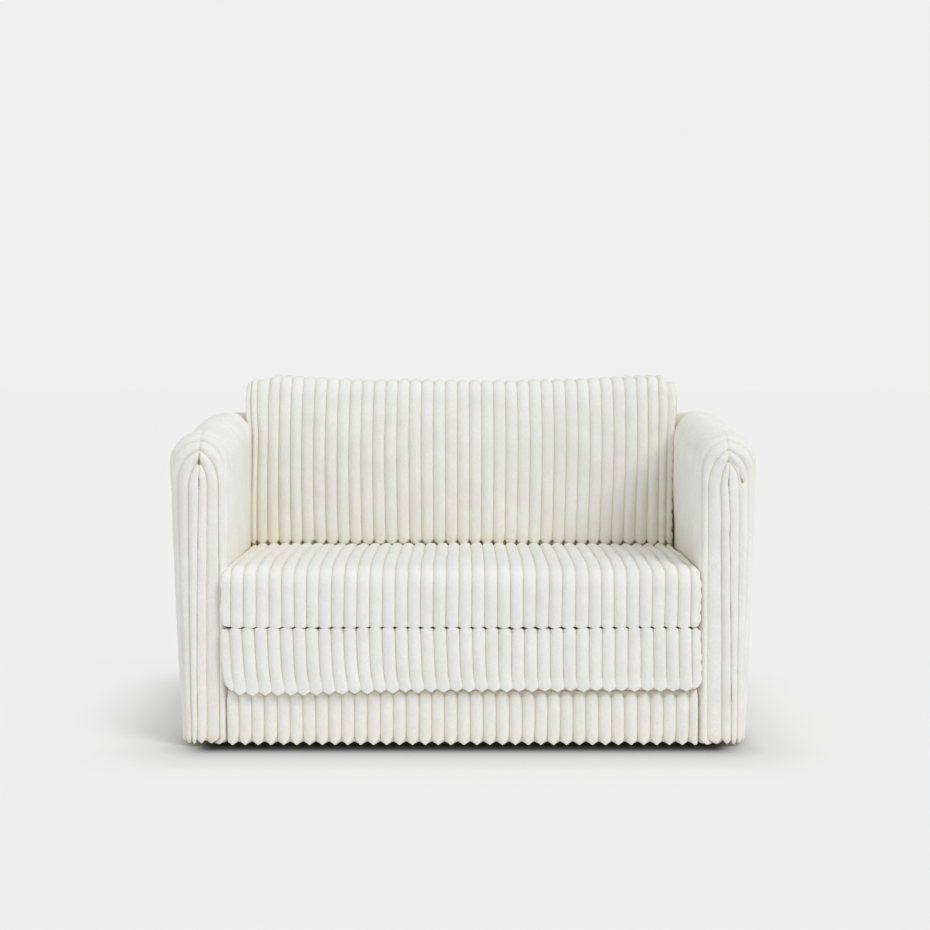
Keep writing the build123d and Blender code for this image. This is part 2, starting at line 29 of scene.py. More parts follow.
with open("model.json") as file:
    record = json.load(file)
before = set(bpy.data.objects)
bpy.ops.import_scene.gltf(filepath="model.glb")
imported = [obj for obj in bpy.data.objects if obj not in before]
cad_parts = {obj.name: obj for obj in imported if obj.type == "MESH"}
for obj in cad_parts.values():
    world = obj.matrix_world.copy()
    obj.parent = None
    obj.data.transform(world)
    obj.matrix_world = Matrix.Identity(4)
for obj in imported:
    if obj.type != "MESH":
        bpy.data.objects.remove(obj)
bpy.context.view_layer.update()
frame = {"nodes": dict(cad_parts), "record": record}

mm = 0.001


def smooth(value, low, high):    # 0 below low, 1 above high, eased between
    share = np.clip((np.asarray(value, dtype=float) - low) / (high - low), 0, 1)
    return share * share * (3 - 2 * share)


def ripple(a, b, size, seed):    # gentle unevenness, about -1 to 1, the same on every run
    random = np.random.default_rng(seed)
    total = 0
    for wave in range(6):
        angle, start = random.uniform(0, math.tau, 2)
        length = size * random.uniform(0.6, 1.7)
        total = total + np.sin((a * math.cos(angle) + b * math.sin(angle)) * math.tau / length + start)
    return total / 3.2


# A rib across its width: a broad crest between narrow grooves
rib = {
    "pitch": 31.0 * mm,
    "depth": 9.0 * mm,
    "fullness": 0.93,
    "tip": 9.0 * mm,
    "places": [0, 0.025, 0.07, 0.14, 0.24, 0.36, 0.5, 0.64, 0.76, 0.86, 0.93, 0.975],
}


def fromMiddle(phase):    # 0 on a rib's crest, 1 in its grooves
    return np.abs(2 * (phase - np.floor(phase)) - 1)


def ribHeight(phase):    # an arc from 0 in the groove to 1 on the crest
    across = rib["fullness"] * fromMiddle(phase)
    foot = math.sqrt(1 - rib["fullness"] ** 2)
    return (np.sqrt(1 - across ** 2) - foot) / (1 - foot)


def ribTip(phase):    # how far a hem rises between the pointed ends of two ribs
    return rib["tip"] * fromMiddle(phase)


def ribChance(phase, seed):    # a value of its own for each rib, -1 to 1
    return np.sin((np.floor(phase) * 12.9898 + seed * 4.137) * 43.7585)


def ribPlaces(low, high, pitch, valley):    # samples that follow each rib from groove to groove
    first = math.floor((low - valley) / pitch) - 1
    last = math.ceil((high - valley) / pitch) + 1
    places = [valley + pitch * (number + share) for number in range(first, last) for share in rib["places"]]
    return [place for place in places if low + 0.8 * mm < place < high - 0.8 * mm]


def gridNormals(points, closedColumns):
    alongRows = np.gradient(points, axis=0)
    if closedColumns:
        alongColumns = (np.roll(points, -1, axis=1) - np.roll(points, 1, axis=1)) / 2
    else:
        alongColumns = np.gradient(points, axis=1)
    normals = np.cross(alongRows, alongColumns)
    return normals / np.maximum(np.linalg.norm(normals, axis=2, keepdims=True), 1e-12)


def gridFaces(rows, columns, closedColumns):    # a closed grid also gets a face at each end
    index = np.arange(rows * columns).reshape(rows, columns)
    first = index if closedColumns else index[:, :-1]
    following = np.roll(index, -1, axis=1) if closedColumns else index[:, 1:]
    faces = np.stack([first[:-1], following[:-1], following[1:], first[1:]], axis=-1)
    ends = [index[0].tolist(), index[-1].tolist()] if closedColumns else []
    return faces.reshape(-1, 4).tolist() + ends


def addObject(name, data):
    made = bpy.data.objects.new(name, data)
    bpy.context.scene.collection.objects.link(made)
    return made


def meshPiece(name, points, faces, material, crease, mergeWithin=0.0):
    mesh = bpy.data.meshes.new(name)
    mesh.from_pydata(points.reshape(-1, 3).tolist(), [], faces)
    # the crease attribute drives painted shade in the plush: grooves from 0 to 1, a darker line above 1 for
    # real stitches and for painted shade
    layer = mesh.attributes.new("crease", "FLOAT", "POINT")
    layer.data.foreach_set("value", np.asarray(crease, dtype=np.float32).reshape(-1))
    mesh.materials.append(material)
    sheet = bmesh.new()
    sheet.from_mesh(mesh)
    if mergeWithin:
        bmesh.ops.remove_doubles(sheet, verts=sheet.verts, dist=mergeWithin)
    bmesh.ops.dissolve_degenerate(sheet, edges=sheet.edges, dist=1e-6)
    bmesh.ops.recalc_face_normals(sheet, faces=sheet.faces)
    sheet.to_mesh(mesh)
    sheet.free()
    mesh.polygons.foreach_set("use_smooth", [True] * len(mesh.polygons))
    print(name, len(mesh.polygons), "faces")
    return addObject(name, mesh)


# Points round a closed outline of corners (u, v, radius), counter-clockwise
def outlineLoop(corners, spacing, cornerSteps):
    arcs = []
    count = len(corners)
    for place, (u, v, radius) in enumerate(corners):
        corner = np.array([u, v])
        into = corner - np.array(corners[place - 1][:2])
        out = np.array(corners[(place + 1) % count][:2]) - corner
        into, out = into / np.linalg.norm(into), out / np.linalg.norm(out)
        turn = math.atan2(into[0] * out[1] - into[1] * out[0], float(into @ out))
        if radius == 0 or abs(turn) < 1e-6:
            arcs.append([corner])
            continue
        start = corner - into * radius * abs(math.tan(turn / 2))
        centre = start + math.copysign(radius, turn) * np.array([-into[1], into[0]])
        first = math.atan2(start[1] - centre[1], start[0] - centre[0])
        angles = [first + turn * step / cornerSteps for step in range(cornerSteps + 1)]
        arcs.append([centre + radius * np.array([math.cos(angle), math.sin(angle)]) for angle in angles])
    points = []
    for place, arc in enumerate(arcs):
        points += arc
        start, end = arc[-1], arcs[(place + 1) % count][0]
        steps = max(1, round(float(np.linalg.norm(end - start)) / spacing))
        points += [start + (end - start) * step / steps for step in range(1, steps)]
    return np.array(points)


# A stuffed piece: a ribbed sleeve round an outline, closed at both ends by gussets with level ribs
def stuffedPiece(name, shape, material):
    loop = outlineLoop(shape["corners"], shape["spacing"], shape["cornerSteps"])
    centre = (loop.min(axis=0) + loop.max(axis=0)) / 2
    half = (loop.max(axis=0) - loop.min(axis=0)) / 2
    low, high, rounding = shape["low"], shape["high"], shape["rounding"]
    places = ribPlaces(low, high, shape["pitch"], shape["valley"])
    angles = [math.radians(angle) for angle in (62, 74, 83, 90)]
    places += [low + rounding * (1 - math.sin(angle)) for angle in angles]
    places += [high - rounding * (1 - math.sin(angle)) for angle in angles]
    places = sorted(set(round(place, 7) for place in places))
    rows, rowValues = [], []
    capShares = [0.04, 0.14, 0.25, 0.36, 0.47, 0.57, 0.66, 0.74, 0.81, 0.87, 0.92, 0.96]

    def addRow(x, inset, share, cap, side):
        reach = 1 - inset * np.array(shape["endInset"]) / half
        rows.append(np.column_stack([np.full(len(loop), x), centre + (loop - centre) * reach * share]))
        rowValues.append((x, inset, share, cap, side))

    for share in capShares:
        addRow(low - shape["capBulge"] * (1 - share ** 2), 1, share, 1, -1)
    for place in places:
        into = min(place - low, high - place)
        inset = 1 - math.sqrt(max(0, 1 - (1 - into / rounding) ** 2)) if into < rounding else 0
        addRow(place, inset, 1, 0, -1 if place < 0 else 1)
    for share in capShares[::-1]:
        addRow(high + shape["capBulge"] * (1 - share ** 2), 1, share, 1, 1)
    points = np.array(rows)
    rowX, rowInset, rowShare, rowCap, rowSide = np.array(rowValues, dtype=float).T[:, :, None]
    phase = (rowX - shape["valley"]) / shape["pitch"] + 0 * points[:, :, 1]
    levelPhase = (points[:, :, 2] - shape["gussetValley"]) / shape["gussetPitch"]
    ribbed = shape["ribbed"](*np.moveaxis(points, 2, 0))
    points = shape["form"](*np.moveaxis(points, 2, 0), phase)
    normals = gridNormals(points, True)
    middle = points.reshape(-1, 3).mean(axis=0)
    if np.sum(normals * (points - middle)) < 0:
        normals = -normals
    serrated = np.where(rowSide > 0, smooth(rowInset, 0.22, 0.48), smooth(rowInset, 0.86, 1.0))
    level = np.maximum(rowCap, serrated)
    seam = np.exp(-((rowInset - 0.9) / 0.09) ** 2) * (1 - rowCap) * (rowSide < 0)
    upright = rib["depth"] * (1 - ribHeight(phase)) * ribbed
    flat = shape["flatGusset"] * (1 - smooth(rowShare, 0.85, 1.0))    # 1 keeps ribs only at its edge
    sideways = shape["gussetDepth"] * (1 - ribHeight(levelPhase)) * (1 - flat)
    inward = upright * (1 - level) + sideways * level + 2.2 * mm * seam
    x, y, z = np.moveaxis(points, 2, 0)
    lumps = 0.5 * mm * ripple(x, y + z, 45 * mm, shape["seed"])
    lumps += 1.0 * mm * ripple(x, y + z, 190 * mm, shape["seed"] + 1)
    straight = shape["hem"](x, y, z)[:, :, None]    # at a hem the grooves go straight back
    normals = normals * (1 - straight) + np.array([0, -1, 0]) * straight
    points = points - normals * (inward - lumps)[:, :, None]
    crease = np.clip(inward / rib["depth"], 0, 1) + shape["stitchAndShadeLine"](*np.moveaxis(points, 2, 0))
    return meshPiece(name, points, gridFaces(*phase.shape, True), material, crease)


# An open-ended ribbed wrap round an outline, for the base and the back, which meet the arms at both ends
def ribbedWrap(name, shape, material):
    loop = outlineLoop(shape["corners"], shape["spacing"], shape["cornerSteps"])
    low, high = shape["low"], shape["high"]
    places = [low] + ribPlaces(low, high, shape["pitch"], shape["valley"]) + [high]
    x = np.array(places)[:, None] + 0 * loop[None, :, 0]
    phase = (x - shape["valley"]) / shape["pitch"]
    points = shape["form"](x, loop[None, :, 0] + 0 * x, loop[None, :, 1] + 0 * x, phase)
    normals = gridNormals(points, True)
    x, y, z = np.moveaxis(points, 2, 0)
    if np.sum(normals[:, :, 1] * (y - y.mean())) < 0:
        normals = -normals
    inward = rib["depth"] * (1 - ribHeight(phase)) * shape["ribbed"](x, y, z)
    lumps = 0.5 * mm * ripple(x, y + z, 45 * mm, shape["seed"]) * (inward > 0)
    points = points - normals * (inward - lumps)[:, :, None]
    crease = np.clip(inward / rib["depth"], 0, 1)
    return meshPiece(name, points, gridFaces(*phase.shape, True), material, crease)


def padPiece(piece, body, nodes):    # a plush piece, the body it rides on and the nodes it stands for
    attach(piece, body)
    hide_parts(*nodes)


def srgb(colour):    # "#rrggbb" to linear red, green, blue, alpha
    parts = [int(colour[place:place + 2], 16) / 255 for place in (1, 3, 5)]
    return [part / 12.92 if part <= 0.04045 else ((part + 0.055) / 1.055) ** 2.4 for part in parts] + [1]


# Settings are sockets, properties or a colour ramp's stops, and links are socket: (node, output)
def addNode(tree, kind, settings=None, links=None):
    node = tree.nodes.new("ShaderNode" + kind)
    for key, value in (settings or {}).items():
        if key == "stops":
            elements = node.color_ramp.elements
            while len(elements) < len(value):
                elements.new(0.5)
            for element, (place, colour) in zip(elements, value):
                element.position = place
                element.color = srgb(colour)
        elif hasattr(node, str(key)):
            setattr(node, key, value)
        else:
            node.inputs[key].default_value = value
    for key, (source, output) in (links or {}).items():
        tree.links.new(source.outputs[output], node.inputs[key])
    return node


def newMaterial(name, colour):    # the material, its tree and the place on the piece, ready to link
    material = bpy.data.materials.new(name)
    material.use_nodes = True
    material.diffuse_color = srgb(colour)
    tree = material.node_tree
    tree.nodes.clear()
    return material, tree, (addNode(tree, "TexCoord"), "Object")


def finishSurface(tree, colour, height, relief, surface):    # for a raised pattern
    bump = addNode(tree, "Bump", relief, {"Height": height})
    shader = addNode(tree, "BsdfPrincipled", surface,
                     {"Base Color": colour, "Normal": (bump, "Normal")})
    addNode(tree, "OutputMaterial", {}, {"Surface": (shader, "BSDF")})


# Short-pile polyester plush, knitted and sheared: matt, a soft halo at grazing angles. Its colour holds
# painted
# shade: warmer, darker grooves, a warm painted shade in nooks and a darker painted line in pinches and folds
plush = {
    "crest": "#f4f5f2",
    "brushed": "#eaebe6",
    # painted shade colours: the grooves, the nooks, and the darker line for stitches and shade
    "groove": "#ece9dc",
    "nookShade": "#f6ecc9",
    "nookShadeReach": 0.20,
    "stitchAndShade": "#b0a280",
    "clumpSize": 5.0 * mm,
    "brushingSize": 80.0 * mm,
    "pileSize": 2.4 * mm,    # real pile is under 0.5 mm, drawn coarser so that it shows
    "pileHeight": 2.0 * mm,
    "sheen": 0.25,
}


def plushMaterial(name, settings):
    material, tree, place = newMaterial(name, settings["crest"])
    clumps = addNode(tree, "TexNoise", {
        "Scale": 1 / settings["clumpSize"], "Detail": 3, "Roughness": 0.6}, {"Vector": place})
    brushing = addNode(tree, "TexNoise", {
        "Scale": 1 / settings["brushingSize"], "Detail": 2}, {"Vector": place})
    pile = addNode(tree, "TexNoise", {
        "Scale": 1 / settings["pileSize"], "Detail": 2, "Roughness": 0.7}, {"Vector": place})
    tone = addNode(tree, "Math", {"operation": "MULTIPLY"}, {0: (clumps, "Fac"), 1: (brushing, "Fac")})
    body = addNode(tree, "ValToRGB", {
        "stops": [(0.10, settings["brushed"]), (0.42, settings["crest"])]}, {"Fac": (tone, "Value")})
    crease = addNode(tree, "Attribute", {"attribute_name": "crease"})
    # painted shade in the grooves: the crease depth tints the colour towards the groove colour
    depth = addNode(tree, "Math", {
        "operation": "POWER", 1: 2.6, "use_clamp": True}, {0: (crease, "Fac")})
    grooveShaded = addNode(tree, "Mix", {
        "data_type": "RGBA", 7: srgb(settings["groove"])}, {"Factor": (depth, "Value"), 6: (body, "Color")})
    # painted warm shade in nooks, led by ambient occlusion and kept weaker in the grooves
    openness = addNode(tree, "AmbientOcclusion", {"samples": 6, "Distance": settings["nookShadeReach"]})
    shut = addNode(tree, "MapRange", {
        "From Min": 0.70, "From Max": 0.20, "To Max": 0.50}, {"Value": (openness, "AO")})
    wide = addNode(tree, "Math", {"operation": "MULTIPLY_ADD", 1: -0.7, 2: 1.0}, {0: (depth, 0)})
    shut = addNode(tree, "Math", {"operation": "MULTIPLY"}, {0: (shut, "Result"), 1: (wide, 0)})
    nookShade = addNode(tree, "Mix", {
        "data_type": "RGBA", 7: srgb(settings["nookShade"])}, {"Factor": (shut, 0), 6: (grooveShaded, 2)})
    # above 1 the crease paints a darker line: real stitches on the arms' seams, painted shade in the
    # cushion's pinch and the arms' folds
    stitchAndShadeLine = addNode(tree, "MapRange", {"From Min": 1.1, "From Max": 1.7}, {"Value": (crease, "Fac")})
    colour = addNode(tree, "Mix", {
        "data_type": "RGBA", 7: srgb(settings["stitchAndShade"])}, {"Factor": (stitchAndShadeLine, "Result"), 6: (nookShade, 2)})
    height = addNode(tree, "Math", {
        "operation": "MULTIPLY_ADD", 1: 0.45}, {0: (pile, "Fac"), 2: (clumps, "Fac")})
    finishSurface(tree, (colour, 2), (height, "Value"), {
        "Strength": 0.75, "Distance": settings["pileHeight"],
    }, {
        "Roughness": 0.92, "Sheen Weight": settings["sheen"], "Sheen Roughness": 0.45, "IOR": 1.45,
        "Specular IOR Level": 0.15,
    })
    return material


# Woven polyester tape: plain weave at 0.9 mm, drawn at 1.5 mm so that it shows
def tapeMaterial(name, warp, weft):
    material, tree, place = newMaterial(name, warp)
    bandScale = 1 / (1.5 * mm) / 6.3    # a scale of 1 draws about 6.3 bands, light and dark, in a metre
    across, along = (addNode(tree, "TexWave", {
        "Scale": bandScale, "bands_direction": axis}, {"Vector": place}) for axis in ("X", "Z"))
    weave = addNode(tree, "Math", {"operation": "MAXIMUM"}, {0: (across, "Fac"), 1: (along, "Fac")})
    colour = addNode(tree, "ValToRGB", {"stops": [(0.2, weft), (0.8, warp)]}, {"Fac": (weave, "Value")})
    finishSurface(tree, (colour, "Color"), (weave, "Value"), {"Strength": 0.5, "Distance": 0.3 * mm}, {
        "Roughness": 0.85, "Specular IOR Level": 0.2})
    return material


# Open-cell polyurethane foam, sliced: cut cells give a matt, finely pitted face
def foamMaterial(name, light, dark):
    material, tree, place = newMaterial(name, light)
    cells = addNode(tree, "TexVoronoi", {"Scale": 1 / (2.0 * mm)}, {"Vector": place})
    colour = addNode(tree, "ValToRGB", {
        "stops": [(0.0, dark), (0.5, light)]}, {"Fac": (cells, "Distance")})
    finishSurface(tree, (colour, "Color"), (cells, "Distance"), {
        "Strength": 0.5, "Distance": 0.5 * mm, "invert": True,
    }, {"Roughness": 0.95, "Specular IOR Level": 0.1})
    return material


# Sawn and planed softwood or rotary-cut veneer: growth rings stretched along the board
def woodMaterial(name, light, dark, stretch, ringSize):
    material, tree, place = newMaterial(name, light)
    turned = addNode(tree, "Mapping", {"Scale": stretch}, {"Vector": place})
    rings = addNode(tree, "TexNoise", {
        "Scale": 1 / ringSize, "Detail": 6, "Roughness": 0.65, "Distortion": 0.6,
    }, {"Vector": (turned, "Vector")})
    colour = addNode(tree, "ValToRGB", {"stops": [(0.35, dark), (0.62, light)]}, {"Fac": (rings, "Fac")})
    finishSurface(tree, (colour, "Color"), (rings, "Fac"), {"Strength": 0.25, "Distance": 0.4 * mm}, {
        "Roughness": 0.7})
    return material


# Spun-bonded polypropylene lining: thin black felt with a grid of small heat-bonded dots, 3 mm apart
def liningMaterial(name, colour, dot):
    material, tree, place = newMaterial(name, colour)
    dots = addNode(tree, "TexVoronoi", {"Scale": 1 / (3.0 * mm), "Randomness": 0.1}, {"Vector": place})
    fibres = addNode(tree, "TexNoise", {"Scale": 1 / (1.2 * mm), "Detail": 4}, {"Vector": place})
    shade = addNode(tree, "Math", {"operation": "MULTIPLY"}, {0: (dots, "Distance"), 1: (fibres, "Fac")})
    tone = addNode(tree, "ValToRGB", {"stops": [(0.05, dot), (0.35, colour)]}, {"Fac": (shade, "Value")})
    finishSurface(tree, (tone, "Color"), (shade, "Value"), {"Strength": 0.5, "Distance": 0.3 * mm}, {
        "Roughness": 0.8, "Specular IOR Level": 0.3})
    return material


# Injection-moulded polypropylene: black, satin, a faint spark-eroded grain
def mouldedMaterial(name, colour, worn):
    material, tree, place = newMaterial(name, colour)
    grain = addNode(tree, "TexNoise", {"Scale": 1 / (0.9 * mm), "Detail": 3}, {"Vector": place})
    tone = addNode(tree, "ValToRGB", {"stops": [(0.3, colour), (0.75, worn)]}, {"Fac": (grain, "Fac")})
    finishSurface(tree, (tone, "Color"), (grain, "Fac"), {"Strength": 0.2, "Distance": 0.1 * mm}, {
        "Roughness": 0.5, "IOR": 1.49})
    return material


# Zinc-plated steel: grey with a mottled passivated film
def zincMaterial(name, light, dark):
    material, tree, place = newMaterial(name, light)
    film = addNode(tree, "TexNoise", {"Scale": 1 / (4.0 * mm), "Detail": 4}, {"Vector": place})
    tone = addNode(tree, "ValToRGB", {"stops": [(0.35, dark), (0.65, light)]}, {"Fac": (film, "Fac")})
    gloss = addNode(tree, "MapRange", {"To Min": 0.28, "To Max": 0.45}, {"Value": (film, "Fac")})
    shader = addNode(tree, "BsdfPrincipled", {"Metallic": 1.0},
                     {"Base Color": (tone, "Color"), "Roughness": (gloss, "Result")})
    addNode(tree, "OutputMaterial", {}, {"Surface": (shader, "BSDF")})
    return material


ivoryPlush = plushMaterial("ivory plush, knitted and sheared", plush)
foldTape = tapeMaterial("polyester tape, plain woven", "#d3c6a2", "#b3a37c")
slicedFoam = foamMaterial("polyurethane foam, sliced", "#ece2bd", "#cdbf8d")
pineBoard = woodMaterial("pine, planed", "#d9b98a", "#b98e5b", (0.12, 1, 1), 9 * mm)
birchPly = woodMaterial("birch plywood, rotary cut and sanded", "#dcc198", "#c3a274", (1, 0.15, 0.15),
                        14 * mm)
hardboard = woodMaterial("hardboard, pressed", "#7a5636", "#5c3f27", (1, 1, 1), 3 * mm)
blackLining = liningMaterial("polypropylene lining, spun-bonded", "#161617", "#0c0c0d")
blackMoulding = mouldedMaterial("polypropylene, injection moulded", "#131313", "#1d1d1d")
elasticWebbing = tapeMaterial("elastic webbing, plain woven", "#2c2c2e", "#1b1b1c")
zincSteel = zincMaterial("steel, zinc plated", "#b9bab8", "#8f918f")

nodeFinish = {
    "foam": slicedFoam, "pine": pineBoard, "plywood": birchPly, "hardboard": hardboard,
    "webbing": elasticWebbing, "black_lining": blackLining, "black_plastic": blackMoulding,
    "zinc_steel": zincSteel, "piping_cloth": foldTape, "ribbed_plush": ivoryPlush,
    "gusset_plush": ivoryPlush,
}
for entry in frame["record"]["subparts"]:
    node = frame["nodes"][entry["node"]]
    node.data.materials.clear()
    node.data.materials.append(nodeFinish[entry["material_slot"]])
print("materials set on", len(frame["nodes"]), "nodes")


# The seat and the middle layer: stuffed, with hems that hang in points over the layer below
def layerForm(settings):
    front, bottom, top, seed = (settings[key] for key in ("front", "bottom", "top", "seed"))

    def form(x, y, z, phase):
        upright = (z - (bottom + top) / 2) / ((top - bottom) / 2)    # -1 at the bottom, 1 at the top
        across = x / settings["high"]
        backwards = (y - front) / settings["depth"]
        forward = smooth(-y, 0.2, 0.4)
        onTop = smooth(upright, 0.3, 1)
        sideways = np.where(x < 0, -settings["leftBulge"], settings["rightBulge"])
        bulge = sideways * smooth(-y, -front - 42 * mm, -front - 8 * mm)
        bulge = bulge * (1 - 0.35 * upright ** 2) * smooth(np.abs(across), 0.978, 1.0)
        down = (1 - upright) / 2
        lean = settings["lean"] * down * forward * smooth(-x, -0.1, 0.5)
        lean = lean + settings["footLean"] * np.clip(down, 0, 1) ** 6 * forward * np.interp(
            x, settings["footLeanAt"], settings["footLeanShare"])
        wander = settings["wander"] * ripple(x, 1.6 * (y - z), 0.30, 13)    # alike, so the ribs meet
        wander = wander + np.interp(x, settings["driftAt"], settings["drift"]) * mm
        crown = np.interp(backwards, settings["crownAt"], settings["crown"]) * mm
        crown = crown * (1 - across ** 6) * onTop
        swell = settings["frontSwell"] * (1 - upright ** 2) * smooth(-y, -front - 60 * mm, -front)
        unevenTop = settings["unevenTop"] * ripple(x, y, 0.35, seed + 3) * onTop
        lip = smooth(-y, -front - 7 * mm, -front - 1 * mm) * (1 - smooth(upright, -1.0, -0.7))
        lip = lip * (1 - 0.35 * smooth(-across, 0.97, 1.0) - smooth(across, 0.97, 1.0))
        hang = np.interp(across, settings["hangAt"], settings["hang"]) * mm
        hang = hang + settings["uneven"] * ribChance(phase, seed)
        pointed = np.interp(across, [-1, 1], settings["tipShare"])
        lowered = lip * (hang - pointed * ribTip(phase))
        return np.stack([x + bulge + lean + wander, y - swell, z + crown + unevenTop - lowered], axis=-1)
    return form


def pressedRelief(y, z, settings):    # grooves are shallower where one layer presses on the next
    front, bottom = settings["front"], settings["bottom"]
    relief = 1 + 0 * z
    for face in settings["pressed"]:
        pressed = 1 - smooth(np.abs(z - settings[face]), 0.5 * mm, 5 * mm)
        start = front + (8 * mm if face == "bottom" else 2 * mm)
        relief -= settings["pressedShare"] * pressed * smooth(y, start, start + 6 * mm)
    overCord = 1 - smooth(z, bottom + 12 * mm, bottom + 20 * mm)
    return relief - settings["overCord"] * overCord * (y < front + 8 * mm)


# Crown, hang and drift are in mm at the places above them: crown along the depth, the others across it
layer = {
    "front": -0.4185, "depth": 0.5676, "low": -0.5790, "high": 0.5785, "spacing": 9 * mm, "cornerSteps": 7,
    "rounding": 16 * mm, "bottomRadius": 5 * mm, "backRadius": 9 * mm, "rightBulge": 8 * mm,
    "capBulge": 1 * mm, "gussetPitch": 28 * mm, "gussetDepth": 6 * mm, "flatGusset": 0,
    "frontSwell": 1.5 * mm, "wander": 1.3 * mm, "unevenTop": 1.5 * mm, "pressedShare": 0.40,
    "footLeanAt": [-0.58, -0.52, -0.40, -0.30, 0.07, 0.45],
    "footLeanShare": [0.3, 0.5, 0.95, 1, 0.58, 0],
}
seatLayer = {
    **layer, "bottom": 0.3003, "top": 0.4480, "topRadius": 44 * mm, "pitch": 31.24 * mm, "valley": -0.5658,
    "gussetValley": 0.306, "endInset": (12 * mm, 7 * mm), "leftBulge": 13 * mm, "lean": 0.0, "footLean": 0.0,
    "overCord": 0.0, "uneven": 0.6 * mm, "seed": 11, "pressed": ["bottom"], "tipShare": (0.35, 0.95),
    "crownAt": [0, 0.06, 0.13, 0.20, 0.28, 0.40, 0.55, 0.74, 0.87, 1.0],
    "crown": [0, 0, 4.5, 8.3, 9.8, 10.6, 11.6, 9.5, 6.0, 2.5],
    "hangAt": [-1, 1],
    "hang": [4.8, 7.8],
    "driftAt": [-0.58, -0.42, -0.32, 0.0, 0.23, 0.30, 0.58],
    "drift": [-2.0, -2.4, -5.0, -5.4, -4.6, -1.5, -0.5],
}
middleLayer = {
    **layer, "bottom": 0.1503, "top": 0.2997, "topRadius": 5 * mm, "pitch": 31.39 * mm, "valley": -0.5685,
    "gussetValley": 0.156, "endInset": (12 * mm, 8 * mm), "leftBulge": 16 * mm, "lean": 6.5 * mm,
    "footLean": 8 * mm, "overCord": 0.55, "uneven": 1.2 * mm, "seed": 23, "pressed": ["bottom", "top"],
    "tipShare": (1.1, 1.0),
    "crownAt": [0, 1],
    "crown": [0, 0],
    "hangAt": [-1, -0.72, -0.50, -0.28, 0.0, 1.0],
    "hang": [22, 22, 18, 14.8, 12, 10.3],
    "driftAt": [-0.58, -0.52, -0.10, 0.05, 0.20, 0.35, 0.58],
    "drift": [-2.4, -5.0, -5.0, -2.5, -1.5, -0.3, 0.7],
}


def mattressLayer(name, settings, body, nodes):
    front, bottom, top = settings["front"], settings["bottom"], settings["top"]
    rear = front + settings["depth"]
    corners = [
        (front, bottom, settings["bottomRadius"]),
        (rear, bottom, settings["backRadius"]),
        (rear, top, settings["backRadius"]),
        (front, top, settings["topRadius"]),
    ]

    def hem(x, y, z):
        return smooth(-y, -front - 12 * mm, -front - 9 * mm) * smooth(-z, -bottom - 6 * mm, -bottom - 2 * mm)

    shape = {
        **settings, "corners": corners, "form": layerForm(settings), "hem": hem,
        "ribbed": lambda x, y, z: pressedRelief(y, z, settings),
        "stitchAndShadeLine": lambda x, y, z: 0 * z,
    }
    padPiece(stuffedPiece(name, shape, ivoryPlush), body, nodes)


mattressLayer("seatLayer", seatLayer, "seat_section", ["seat_cover", "seat_side_gussets"])
mattressLayer("middleLayer", middleLayer, "middle_section", ["middle_cover", "middle_side_gussets"])


# Back cushion. It is pinched where the seat meets it, and its top sags between the ends.
cushion = {
    "front": 0.1515, "rear": 0.3308, "bottom": 0.1505, "top": 0.9150, "low": -0.6220, "high": 0.5970,
    "pitch": 33.1 * mm, "valley": -0.5781, "spacing": 11 * mm, "cornerSteps": 7, "rounding": 15 * mm,
    "endInset": (10 * mm, 26 * mm), "capBulge": 1 * mm, "gussetPitch": 27 * mm, "gussetDepth": 7 * mm,
    "gussetValley": 0.16, "flatGusset": 1, "seed": 37, "sag": 17 * mm, "corner": 17 * mm, "crown": 5 * mm,
    "overhang": 8 * mm, "lean": 10 * mm, "flare": 6 * mm, "spread": 11 * mm, "wander": 1.2 * mm,
    "unevenTop": 2.2 * mm, "ribEnd": 3 * mm, "pinch": 6 * mm, "pinchHeight": 0.4385,
    # where lines of the evenly ribbed sleeve end up: its end ribs are squeezed between the arms
    "sleeve": [-0.6220, -0.6112, -0.5781, -0.5450, -0.5119, -0.4788, -0.4457,
               0, 0.4810, 0.5141, 0.5472, 0.5803, 0.5970],
    "atSeat": [-0.5885, -0.5850, -0.5690, -0.5390, -0.5076, -0.4742, -0.4425,
               0, 0.4750, 0.5075, 0.5385, 0.5600, 0.5795],
    "atTop": [-0.5950, -0.5800, -0.5622, -0.5347, -0.5044, -0.4727, -0.4408,
              0, 0.4786, 0.5092, 0.5383, 0.5620, 0.5855],
}


